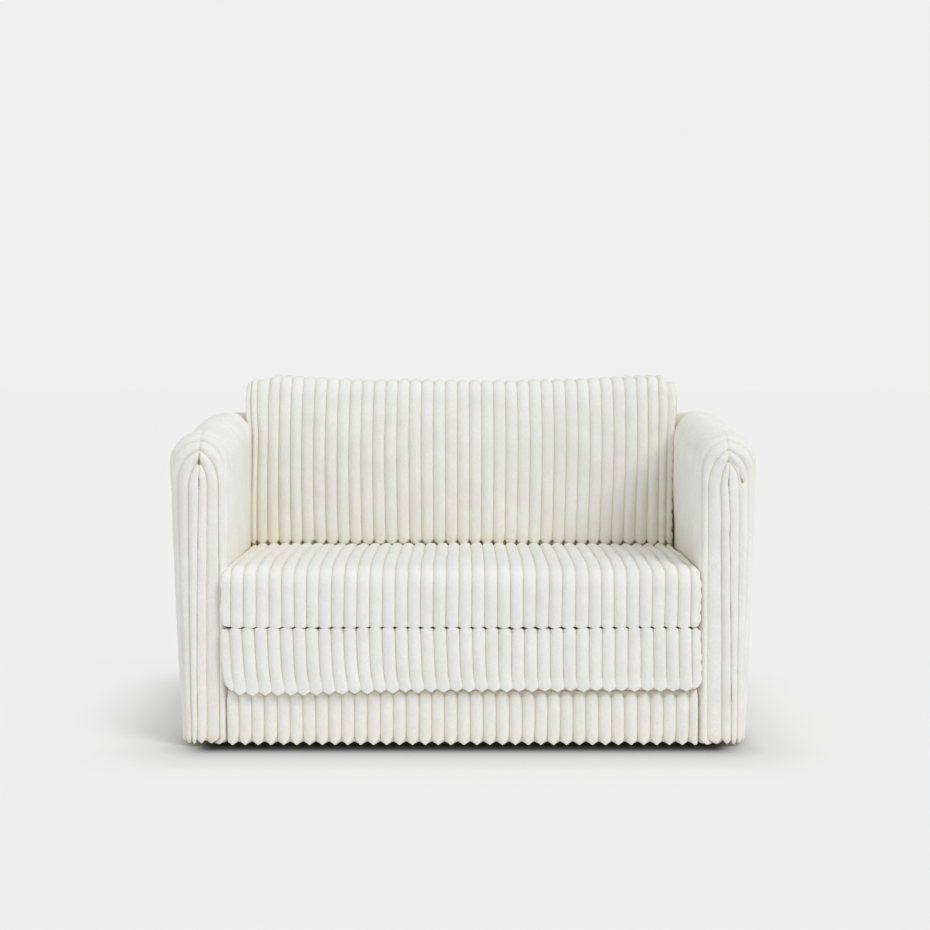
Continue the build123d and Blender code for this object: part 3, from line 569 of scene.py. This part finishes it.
def cushionForm(x, y, z, phase):
    atSeat = np.interp(x, cushion["sleeve"], cushion["atSeat"])
    atTop = np.interp(x, cushion["sleeve"], cushion["atTop"])
    x = atSeat + (atTop - atSeat) * smooth(z, 0.50, 0.80)
    across = x / 0.580
    middleY = (cushion["front"] + cushion["rear"]) / 2
    upper = smooth(z, 0.60, 0.905)
    sag = cushion["sag"] * upper * (1 - np.abs(across) ** 2.2)
    forward = smooth(middleY - y, -0.01, 0.08)
    face = np.clip((z - 0.45) / 0.46, 0, 1)
    crown = cushion["crown"] * forward * (1 - across ** 4) * np.sin(np.pi * face) ** 0.8
    started = np.clip((z - cushion["pinchHeight"]) / (28 * mm), 0, 1)
    crown += cushion["overhang"] * forward * np.sqrt(1 - (1 - started) ** 2) * (1 - smooth(z, 0.80, 0.915))
    lean = cushion["lean"] * forward * smooth(z, 0.70, 0.91)
    wander = cushion["wander"] * ripple(0.7 * x, z, 0.42, 41) * (1 - across ** 2)
    unevenTop = cushion["unevenTop"] * ripple(x, y, 0.30, 43) * upper
    corner = np.where(x < 0, 0.8 * smooth(-x, 0.520, 0.556), smooth(x, 0.545, 0.566))
    corner = cushion["corner"] * upper * corner
    flare = cushion["flare"] * np.sign(x) * smooth(np.abs(x), 0.52, 0.58) * smooth(z, 0.74, 0.86)
    toFold = np.exp(-((z - cushion["pinchHeight"]) / (13 * mm)) ** 2) * forward
    spread = cushion["spread"] * across * (1 - across ** 2) * np.sin(np.pi * face)
    ribEnd = cushion["ribEnd"] * fromMiddle(phase) * toFold
    height = z - sag - corner + unevenTop + ribEnd
    return np.stack([x + wander + spread + flare, y - crown + lean, height], axis=-1)


def backCushion():
    front, rear, bottom, top, pinch, height = (
        cushion[key] for key in ("front", "rear", "bottom", "top", "pinch", "pinchHeight"))
    corners = [
        (front + 4 * mm, bottom, 20 * mm),
        (rear, bottom, 20 * mm),
        (rear, top, 42 * mm),
        (front, top, 46 * mm),
        (front, height + 7 * mm, 7 * mm),
        (front + pinch, height, 2 * mm),
        (front + 2 * mm, height - 9 * mm, 7 * mm),
    ]

    def ribbed(x, y, z):    # shallower grooves in the pinch
        return 1 - 0.4 * (1 - smooth(np.abs(z - height), 1 * mm, 4 * mm)) * (y < front + pinch + 2 * mm)

    def stitchAndShadeLine(x, y, z):    # painted shade line just under the pinch, in the darker stitch-and-shade colour
        under = smooth(-z, -height - 2.5 * mm, -height)
        return (y < 0.20) * under * smooth(z, height - 14 * mm, height - 9 * mm)

    shape = {
        **cushion, "corners": corners, "form": cushionForm, "ribbed": ribbed, "stitchAndShadeLine": stitchAndShadeLine,
        "hem": lambda x, y, z: 0 * z,
    }
    nodes = ["back_cushion_cover", "back_cushion_gussets"]
    padPiece(stuffedPiece("backCushion", shape, ivoryPlush), "back_cushion", nodes)


backCushion()


# Base cover, over the base's front and its deck
baseWrap = {
    "front": -0.4020, "rear": 0.3690, "bottom": 0.0045, "top": 0.1492, "low": -0.5798, "high": 0.5785,
    "pitch": 31.68 * mm, "valley": -0.5514, "spacing": 9 * mm, "cornerSteps": 6, "seed": 53, "wall": 12 * mm,
    "swell": 1.5 * mm, "wander": 0.8 * mm,
}


def baseCover():
    front, rear, bottom, top, wall = (baseWrap[key] for key in ("front", "rear", "bottom", "top", "wall"))
    corners = [
        (front, bottom, 6 * mm),
        (front + wall, bottom, 2 * mm),
        (front + wall, top - wall, 1 * mm),
        (rear, top - wall, 1 * mm),
        (rear, top, 3 * mm),
        (front, top, 17 * mm),
    ]

    def form(x, y, z, phase):    # ribs end in points above the floor and in domes under the middle layer
        wander = baseWrap["wander"] * ripple(x, z, 0.25, 57)
        swell = baseWrap["swell"] * np.clip(1 - ((z - 0.08) / 0.07) ** 2, 0, 1) * (y < -0.395)
        tips = ribTip(phase) * (1 - smooth(z, 0.016, 0.050)) * (y < front + 1.2 * wall)
        domes = 1.5 * mm + 4 * mm * smooth(x, -0.2, 0.4) + 5 * mm * fromMiddle(phase) ** 2
        domes = domes * smooth(z, 0.112, 0.136) * (1 - smooth(y, front + 6 * mm, front + 24 * mm))
        ends = 5 * mm * smooth(np.abs(x), 0.560, 0.580) * smooth(z, 0.09, 0.13)
        return np.stack([x + wander, y - swell, z + tips - domes - ends], axis=-1)

    def outside(x, y, z):    # 1 on the front and the top, 0 inside
        onFront = 1 - smooth(y, front + 7 * mm, front + 10 * mm)
        return np.maximum(onFront, smooth(z, top - 6 * mm, top - 2 * mm))

    shape = {**baseWrap, "corners": corners, "form": form, "ribbed": outside}
    padPiece(ribbedWrap("baseCover", shape, ivoryPlush), "sofa_frame", ["base_cover"])


baseCover()


# Back cover, down the back, over the top and down inside behind the cushion
backWrap = {
    "front": 0.3314, "rear": 0.4195, "bottom": 0.0145, "top": 0.7900, "low": -0.5780, "high": 0.5780,
    "pitch": 31.0 * mm, "valley": -0.5580, "spacing": 14 * mm, "cornerSteps": 8, "seed": 61, "wall": 12 * mm,
    "topWall": 26 * mm, "frontBottom": 0.1505, "wander": 1.2 * mm,
}


def backCover():
    front, rear, bottom, top, wall, topWall, frontBottom = (
        backWrap[key] for key in ("front", "rear", "bottom", "top", "wall", "topWall", "frontBottom"))
    corners = [
        (rear - wall, bottom, 2 * mm),
        (rear, bottom, 11 * mm),
        (rear, top, 30 * mm),
        (front, top, 18 * mm),
        (front, frontBottom, 2 * mm),
        (front + wall, frontBottom, 2 * mm),
        (front + wall, top - topWall, 3 * mm),
        (rear - wall, top - topWall, 6 * mm),
    ]

    def form(x, y, z, phase):
        return np.stack([x + backWrap["wander"] * ripple(x, z, 0.4, 67), y, z], axis=-1)

    def outside(x, y, z):    # 1 on the back, the top and the front, 0 inside
        faces = np.maximum(smooth(y, rear - 9 * mm, rear - 5 * mm), smooth(z, top - 20 * mm, top - 16 * mm))
        return np.maximum(faces, 1 - smooth(y, front + 3 * mm, front + 6 * mm))

    shape = {**backWrap, "corners": corners, "form": form, "ribbed": outside}
    padPiece(ribbedWrap("backCover", shape, ivoryPlush), "sofa_frame", ["back_cover"])


backCover()


# Arms. Each rib is one line up the outer side, over the arm and down the inner side. Near the front the
# lines leave the vertical and meet at the seam, so that they make pointed arches one inside the other.
arm = {
    "front": -0.4030, "rear": 0.4200, "inner": 0.5785, "outerTopHeight": 0.690, "halfWidth": 66 * mm,
    "noseLength": 74 * mm, "topRadius": 70 * mm, "shoulder": 0.706, "planPower": 2.05, "topPower": 2.0,
    "rise": 37 * mm, "riseStart": -0.315, "riseEnd": 0.160, "bottom": 0.0065, "hemRadius": 12 * mm,
    "hem": 20 * mm, "pitch": 31.0 * mm, "archPitch": 31.5 * mm, "firstArchPitch": 45 * mm,
    "rearRounding": 22 * mm, "springHeight": 0.640, "wallSteps": 30, "archSteps": 28, "squared": 0.60,
    "wander": 1.6 * mm, "bow": 1.5 * mm, "foldReach": 3 * mm, "deepest": 13 * mm,
}


# A quarter of a superellipse, with its length so far
def superCurve(alongPower, reachSide, reachFront, steps=400):
    angle = np.linspace(0, math.pi / 2, steps)
    side = reachSide * np.sin(angle) ** (2 / alongPower)
    front = reachFront * np.cos(angle) ** (2 / alongPower)
    length = np.concatenate([[0], np.cumsum(np.hypot(np.diff(side), np.diff(front)))])
    return side, front, length


planSide, planFront, planLength = superCurve(arm["planPower"], arm["halfWidth"], arm["noseLength"])
noseRise, noseFront, noseLength = superCurve(arm["topPower"], arm["topRadius"], arm["noseLength"])


def planPoint(travelled):    # sideways reach and place along y, round the arm's foot from the front seam
    side = np.interp(travelled, planLength, planSide)
    beyond = np.maximum(0, travelled - planLength[-1])
    front = np.interp(travelled, planLength, planFront)
    return side, arm["front"] + arm["noseLength"] - front + beyond


def crestPoint(travelled):    # along the seam up the front, over the nose and back along the top
    below = np.minimum(0, travelled)
    beyond = np.maximum(0, travelled - noseLength[-1])
    inside = np.clip(travelled, 0, noseLength[-1])
    height = arm["shoulder"] + below + np.interp(inside, noseLength, noseRise)
    y = arm["front"] + arm["noseLength"] - np.interp(inside, noseLength, noseFront) + beyond
    return y, height


def onArm(side, y, z):    # moves a point out from the arm's inner line onto its smooth envelope
    lineY = np.maximum(y, arm["front"] + arm["noseLength"])
    lineZ = np.minimum(z, arm["shoulder"])
    away = np.stack([side, y - lineY, z - lineZ])
    shares = np.abs(away) / np.array([arm["halfWidth"], arm["noseLength"], arm["topRadius"]])[:, None]
    plan = shares[0] ** arm["planPower"] + shares[1] ** arm["planPower"]
    plan = plan ** (arm["topPower"] / arm["planPower"])
    reach = (plan + shares[2] ** arm["topPower"]) ** (1 / arm["topPower"])
    reach = np.maximum(reach, 1e-6)
    return away[0] / reach, lineY + away[1] / reach, lineZ + away[2] / reach


# One line from the seam's height down to the hem, in (side, y, z) of one half
def armLine(u, firstRib, pitch):
    travelled = firstRib * min(u, 1) + pitch * max(0, u - 1)
    side, startY = planPoint(travelled)
    arch = (arm["archPitch"] if u > 1 else arm["firstArchPitch"]) * (u - 1)
    endY, endZ = crestPoint(arch)
    stepY, stepZ = crestPoint(arch - 1 * mm)
    down = np.array([0, stepY - endY, stepZ - endZ]) / 0.001
    lift = arm["springHeight"] + (arm["shoulder"] - arm["springHeight"]) * float(smooth(u, 1.5, 7.0))
    lift = min(lift, endZ - 30 * mm)
    angle = math.radians(42 + 48 * float(smooth(u, 0.3, 5.0)))
    sideways = math.sin(angle) * np.array([1, 0, 0]) + math.cos(angle) * down
    start = np.array([float(side), float(startY), lift])
    end = np.array([0, float(endY), float(endZ)])
    span = float(np.linalg.norm(end - start))
    first = start + np.array([0, 0, 0.5 * span])
    second = end + sideways * (0.42 * float(side) + 0.06 * span)
    t = np.linspace(1, 0, arm["archSteps"])[:, None]
    arc = (1 - t) ** 3 * start + 3 * (1 - t) ** 2 * t * first + 3 * (1 - t) * t ** 2 * second + t ** 3 * end
    heights = np.linspace(lift, arm["bottom"] + arm["hemRadius"], arm["wallSteps"])[1:]
    wall = np.column_stack([np.full(len(heights), side), np.full(len(heights), startY), heights])
    points = np.concatenate([arc, wall])
    sideOn, yOn, zOn = onArm(points[:, 0], points[:, 1], points[:, 2])
    points = np.column_stack([sideOn, yOn, zOn])
    points[0] = end
    step = 0.5 * mm
    nextSide, nextY = planPoint(travelled + step)
    out = np.array([float(nextY - startY), -float(nextSide - side), 0])
    out = out / np.linalg.norm(out)
    foot = points[-1]
    hem = []
    for angle in np.radians([30, 60, 90]):
        under = np.array([0, 0, arm["hemRadius"] * math.sin(angle)])
        hem.append(foot - out * arm["hemRadius"] * (1 - math.cos(angle)) - under)
    hem.append(hem[-1] - out * arm["hem"] * 0.5)
    hem.append(hem[-1] - out * arm["hem"] * 0.4 + np.array([0, 0, 3 * mm]))
    return np.concatenate([points, hem])


# The lines of one side of an arm, round its rear corner to the back
def armHalf(outerRib, firstRib, cornerInset):
    around = arm["rear"] - arm["rearRounding"] - arm["front"] - arm["noseLength"] + planLength[-1]
    lastRib = (around - outerRib) / arm["pitch"] + 1
    pitch = (around - firstRib) / (lastRib - 1)
    places = [number + share for number in range(int(lastRib) + 1) for share in rib["places"]]
    places = [place for place in places if place < lastRib - 0.01] + [lastRib]
    lines = [armLine(u, firstRib, pitch) for u in places]
    phases = list(places)
    closing = [1.0] * len(places)
    last = lines[-1]
    for angle in np.radians([25, 50, 70, 90]):
        share = 1 - cornerInset * (1 - math.cos(angle)) / arm["halfWidth"]
        lines.append(rearLine(last, share, arm["rearRounding"] * math.sin(angle)))
        phases.append(lastRib)
        closing.append(1.0)
    panel = [number + share for number in (0, 1) for share in rib["places"]]
    for share in [place * arm["pitch"] / arm["halfWidth"] for place in panel[::-1]]:
        lines.append(rearLine(last, min(share, 0.66), arm["rearRounding"]))
        phases.append(lastRib)
        closing.append(0.0)
    return np.array(lines), np.array(phases), np.array(closing)


# Distance of points (a, b) from a bent line, and how far along it they are, 0 to 1
def lineDistance(a, b, line):
    nearest = np.full(a.shape, 1.0)
    along = 0 * a
    for number, (start, end) in enumerate(zip(line, line[1:])):
        stepA, stepB = end[0] - start[0], end[1] - start[1]
        share = np.clip(((a - start[0]) * stepA + (b - start[1]) * stepB) / (stepA ** 2 + stepB ** 2), 0, 1)
        distance = np.hypot(a - start[0] - share * stepA, b - start[1] - share * stepB)
        along = np.where(distance < nearest, (number + share) / (len(line) - 1), along)
        nearest = np.minimum(nearest, distance)
    return nearest, along


def rearLine(line, share, back):
    moved = line.copy()
    moved[:, 0] *= share
    moved[:, 1] += back
    over = np.maximum(0, line[:, 2] - arm["shoulder"])
    moved[:, 2] -= over * (1 - max(share, 0.66)) * 0.6
    return moved


def armCover(name, node, settings):
    outer, phases, closing = armHalf(settings["outerRib"], settings["outerRib"], arm["rearRounding"])
    inner = armHalf(settings["outerRib"], settings["innerRib"], 2 * mm)[0][:, 1:]
    outer = outer[:, ::-1]
    side = np.concatenate([outer[:, :, 0], -inner[:, :, 0]], axis=1)
    y = np.concatenate([outer[:, :, 1], inner[:, :, 1]], axis=1)
    z = np.concatenate([outer[:, :, 2], inner[:, :, 2]], axis=1)
    phase = phases[:, None] + 0 * side
    z = z + 0.6 * ribTip(phase) * (1 - smooth(z, 0.016, 0.045)) * closing[:, None]
    lift = np.clip(z / arm["outerTopHeight"], 0, 1)
    outerX = settings["outerFoot"] + (settings["outerTop"] - settings["outerFoot"]) * lift
    seamLift = np.clip(z / 0.7, 0, 1)
    seamX = settings["seamFoot"] + (settings["seamTop"] - settings["seamFoot"]) * seamLift ** 1.8
    seamBack = settings["seamBack"] - settings["seamTop"]
    seamX = seamX + seamBack * smooth(y, -0.33, 0.0) * smooth(z, 0.5, 0.75)
    seamX = seamX + 1.2 * mm * ripple(z, 0 * z, 0.13, settings["seed"] + 5) * (1 - smooth(phase, 0.5, 3))
    pulledIn = settings["pulledIn"] * smooth(y, -0.20, 0.10) * (1 - smooth(z, *settings["pulledBelow"]))
    width = np.where(side >= 0, outerX - seamX, seamX - arm["inner"] - pulledIn)
    share = side / arm["halfWidth"]
    fromFront = y - arm["front"]
    squared = arm["squared"] + (0.96 - arm["squared"]) * (1 - smooth(z, 0.40, 0.56))
    squared = squared * smooth(-share, 0.25, 0.80) * (1 - smooth(z, 0.650, 0.735))
    y = y - squared * fromFront * (1 - smooth(fromFront, 20 * mm, 130 * mm))
    wander = arm["wander"] * ripple(y, z, 0.35, settings["seed"])
    y = y + wander * smooth(phase, 2, 5) * smooth(0.40 - y, 0, 0.1)
    rise = arm["rise"] * smooth(y, arm["riseStart"], arm["riseEnd"]) * np.clip(z / 0.776, 0, 1)
    worn = smooth(y, *settings["fall"]) * smooth(z, 0.66, 0.76)
    sunk = 7 * mm * smooth(-share, 0.0, 0.8) * smooth(y, -0.10, 0.10) * smooth(z, 0.60, 0.74)
    sunk = np.maximum(sunk, 8.5 * mm * worn)
    x = seamX + share * width
    bow = arm["bow"] * np.sin(np.pi * seamLift) * smooth(side, 0, arm["halfWidth"])
    points = np.stack([x + bow, y, z + rise - sunk], axis=-1)
    normals = gridNormals(points, False)
    middle = np.array([0.64, 0, 0.4])
    if np.sum(normals * (points - middle)) < 0:
        normals = -normals
    seamNormal = normals[0] + normals[0, ::-1]
    normals[0] = seamNormal / np.maximum(np.linalg.norm(seamNormal, axis=1, keepdims=True), 1e-9)
    height = ribHeight(phase)
    panel = 1 - (1 - ribHeight(side / arm["pitch"])) * (1 - smooth(z, 0.64, 0.70)) * smooth(z, 0.02, 0.04)
    relief = height * closing[:, None] + panel * (1 - closing[:, None])
    shallow = settings["relief"] + (1 - settings["relief"]) * smooth(phase, 3.0, 5.0)
    shallow = shallow * (0.6 + 0.4 * smooth(phase, 0.2, 0.6))
    strip = smooth(phase, 2.2, 2.6) * (1 - smooth(phase, 3.6, 4.5)) * (side < 0)
    strip = strip * (1 - smooth(z, 0.42, 0.52))
    shallow = shallow * (1 - 0.85 * strip) * (1 - 0.7 * np.maximum(worn, (side < 0) * pulledIn / (7 * mm)))
    inward = rib["depth"] * (1 - relief) * shallow
    count = side.shape[1] // 2
    fromCrest = np.linalg.norm(points - points[:, count:count + 1], axis=2)
    seam = settings["seamDepth"] * np.exp(-(fromCrest / (3.2 * mm)) ** 2) * (1 - smooth(phase, 4.5, 9.0))
    seamLine = np.exp(-(phase / 0.06) ** 2) * (z < 0.72)
    nearFold, alongFold = lineDistance(x, z, settings["fold"])
    nearFold = nearFold + (y > -0.34)
    fold = 4 * mm * np.exp(-(nearFold / arm["foldReach"]) ** 2)
    fold = fold + 5 * mm * alongFold ** 4 * np.exp(-(nearFold / (2 * arm["foldReach"])) ** 2)
    inward = np.minimum(inward + seam + 1.5 * mm * seamLine + fold, arm["deepest"])
    lumps = 0.5 * mm * ripple(y, z + side, 45 * mm, settings["seed"] + 1)
    lumps = lumps + 1.0 * mm * ripple(y, z - side, 200 * mm, settings["seed"] + 2)
    points = points - normals * (inward - lumps)[:, :, None]
    points[:, :, 0] *= settings["hand"]
    stitches = (0.5 + 0.5 * np.sin(math.tau * z / (8 * mm))) * np.exp(-(fromCrest / (2.2 * mm)) ** 2)
    stitches = stitches * (1 - smooth(phase, 0.2, 3.5))
    dashes = np.clip(0.45 + 1.0 * ripple(z, 0 * z, 14 * mm, settings["seed"] + 7), 0, 2)
    crease = np.clip(inward / rib["depth"], 0, 1) + 0.8 * stitches + dashes * seamLine
    # painted shade along the arm's fold, darkest at its end
    crease = crease + (0.6 + 1.2 * alongFold ** 6) * np.exp(-(nearFold / (2.6 * mm)) ** 2)
    faces = gridFaces(*side.shape, False)
    piece = meshPiece(name, points, faces, ivoryPlush, crease, mergeWithin=0.15 * mm)
    padPiece(piece, "sofa_frame", [node])


rightArm = {
    "hand": 1, "seamFoot": 0.6610, "seamTop": 0.6487, "seamBack": 0.642, "outerFoot": 0.7045,
    "outerTop": 0.7255, "outerRib": 26 * mm, "innerRib": 19 * mm, "relief": 0.82, "seed": 71,
    "seamDepth": 3.0 * mm, "pulledIn": 6.0 * mm, "pulledBelow": (0.46, 0.56), "fall": (0.15, 0.36),
    "fold": [(0.6532, 0.7107), (0.6759, 0.6874), (0.6885, 0.6530)],
}
leftArm = {
    "hand": -1, "seamFoot": 0.6545, "seamTop": 0.6430, "seamBack": 0.640, "outerFoot": 0.6980,
    "outerTop": 0.7245, "outerRib": 24 * mm, "innerRib": 22.5 * mm, "relief": 0.95, "seed": 83,
    "seamDepth": 3.5 * mm, "pulledIn": 7.0 * mm, "pulledBelow": (0.66, 0.74), "fall": (0.02, 0.30),
    "fold": [(0.6440, 0.7250), (0.6455, 0.7000)],
}
armCover("rightArmCover", "right_arm_cover", rightArm)
armCover("leftArmCover", "left_arm_cover", leftArm)


# Black lining stapled under the base
lining = {
    "width": 1.1514, "depth": 0.7944, "front": -0.3897, "height": 14.4 * mm, "sag": 0.35 * mm,
    "steps": (72, 50),
}


def underLining():
    across = np.linspace(-lining["width"] / 2, lining["width"] / 2, lining["steps"][0])[:, None]
    back = lining["front"] + np.linspace(0, lining["depth"], lining["steps"][1])[None, :]
    x, y = across + 0 * back, back + 0 * across
    z = lining["height"] + lining["sag"] * ripple(x, y, 0.16, 91)
    points = np.stack([x, y, z], axis=-1)
    piece = meshPiece("underLining", points, gridFaces(*x.shape, False), blackLining, 0 * x)
    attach(piece, "sofa_frame")
    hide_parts("base_dust_cover")


underLining()


# Stage, camera and light
stage = {
    "colour": "#f0f0f0", "reach": 60.0, "shadowLift": 0.90, "half": (0.610, 0.402), "liftFrom": 0.10,
    "liftTo": 0.46,
    # painted shadow round the foot, seen by the camera: reach in metres, its colour, and how much of it
    # shows on the way out
    "contact": 0.30,
    "contactShadowColour": "#0c0c0c",
    "contactShadowStops": [(0.0, "#fafafa"), (0.04, "#f9f9f9"), (0.09, "#f0f0f0"), (0.163, "#c6c6c6"),
                     (0.273, "#949494"), (0.457, "#5a5a5a"), (0.833, "#202020"), (1.0, "#000000")],
}
photoCamera = {
    "lens": 67.74, "sensor": 36, "ahead": -4.663, "eyeHeight": 0.940, "side": 0.0058, "pitch": 3.27,
}
light = {
    "ambient": 0.62, "key": 1.19, "towards": (0.54, -0.48, 0.69), "softness": 26,
    "fill": 0.27, "fillTowards": (-0.80, -0.45, 0.40), "fillSoftness": 60,
}


def floorMaterial():
    material, tree, place = newMaterial("studio floor, matt paint", stage["colour"])
    paint = addNode(tree, "BsdfDiffuse", {"Color": srgb(stage["colour"])})
    glow = addNode(tree, "Emission", {"Color": srgb(stage["colour"])})
    path = addNode(tree, "LightPath")
    parts = addNode(tree, "VectorMath", {"operation": "ABSOLUTE"}, {0: place})
    parts = addNode(tree, "VectorMath", {"operation": "SUBTRACT", 1: (*stage["half"], 0)}, {0: (parts, 0)})
    parts = addNode(tree, "VectorMath", {"operation": "MAXIMUM", 1: (0, 0, 0)}, {0: (parts, 0)})
    away = addNode(tree, "VectorMath", {"operation": "LENGTH"}, {0: (parts, 0)})
    # painted light: the floor glows for camera rays, more the further from the sofa, and so fades its shadow
    lifted = addNode(tree, "MapRange", {
        "interpolation_type": "SMOOTHSTEP", "From Min": stage["liftFrom"], "From Max": stage["liftTo"],
        "To Min": 0.2, "To Max": stage["shadowLift"],
    }, {"Value": (away, "Value")})
    contact = addNode(tree, "Math", {"operation": "DIVIDE", 1: stage["contact"]}, {0: (away, "Value")})
    contact = addNode(tree, "ValToRGB", {"stops": stage["contactShadowStops"]}, {"Fac": (contact, 0)})
    seen = addNode(tree, "Math", {"operation": "MULTIPLY"}, {0: (path, "Is Camera Ray"), 1: (lifted, 0)})
    mixed = addNode(tree, "MixShader", {}, {0: (seen, "Value"), 1: (paint, "BSDF"), 2: (glow, "Emission")})
    # painted shadow: a dark floor under and round the sofa's foot, for camera rays only
    dark = addNode(tree, "BsdfDiffuse", {"Color": srgb(stage["contactShadowColour"])})
    under = addNode(tree, "Math", {"operation": "MULTIPLY"}, {0: (path, "Is Camera Ray"), 1: (contact, 0)})
    mixed = addNode(tree, "MixShader", {}, {0: (under, "Value"), 1: (mixed, "Shader"), 2: (dark, "BSDF")})
    addNode(tree, "OutputMaterial", {}, {"Surface": (mixed, "Shader")})
    return material


def addSun(name, energy, softness, towards):
    sunData = bpy.data.lights.new(name, "SUN")
    sunData.energy = energy
    sunData.angle = math.radians(softness)
    sun = addObject(name, sunData)
    sun.rotation_mode = "QUATERNION"
    sun.rotation_quaternion = Vector(towards).to_track_quat("Z", "Y")


def buildStage():
    reach = stage["reach"]
    corners = [(-reach, -reach, 0), (reach, -reach, 0), (reach, reach, 0), (-reach, reach, 0)]
    mesh = bpy.data.meshes.new("studioFloor")
    mesh.from_pydata(corners, [], [(0, 1, 2, 3)])
    mesh.materials.append(floorMaterial())
    addObject("studioFloor", mesh)
    world = bpy.data.worlds.new("studioWorld")
    bpy.context.scene.world = world
    world.use_nodes = True
    tree = world.node_tree
    tree.nodes.clear()
    path = addNode(tree, "LightPath")
    seen = addNode(tree, "Math", {"operation": "MAXIMUM"}, {
        0: (path, "Is Camera Ray"), 1: (path, "Is Glossy Ray")})
    seen = addNode(tree, "Math", {"operation": "MAXIMUM"}, {
        0: (seen, "Value"), 1: (path, "Is Transmission Ray")})
    colour = addNode(tree, "Mix", {
        "data_type": "RGBA", 6: [light["ambient"]] * 3 + [1], 7: srgb(stage["colour"]),
    }, {"Factor": (seen, "Value")})
    background = addNode(tree, "Background", {"Strength": 1.0}, {"Color": (colour, 2)})
    addNode(tree, "OutputWorld", {}, {"Surface": (background, "Background")})
    addSun("keySun", light["key"], light["softness"], light["towards"])
    addSun("fillSun", light["fill"], light["fillSoftness"], light["fillTowards"])
    cameraData = bpy.data.cameras.new("photoCamera")
    cameraData.lens = photoCamera["lens"]
    cameraData.sensor_width = photoCamera["sensor"]
    cameraData.clip_end = 200
    camera = addObject("photoCamera", cameraData)
    camera.location = (photoCamera["side"], photoCamera["ahead"], photoCamera["eyeHeight"])
    camera.rotation_euler = (math.radians(90 - photoCamera["pitch"]), 0, 0)
    bpy.context.scene.camera = camera
    bpy.context.scene.view_settings.view_transform = "Standard"


buildStage()
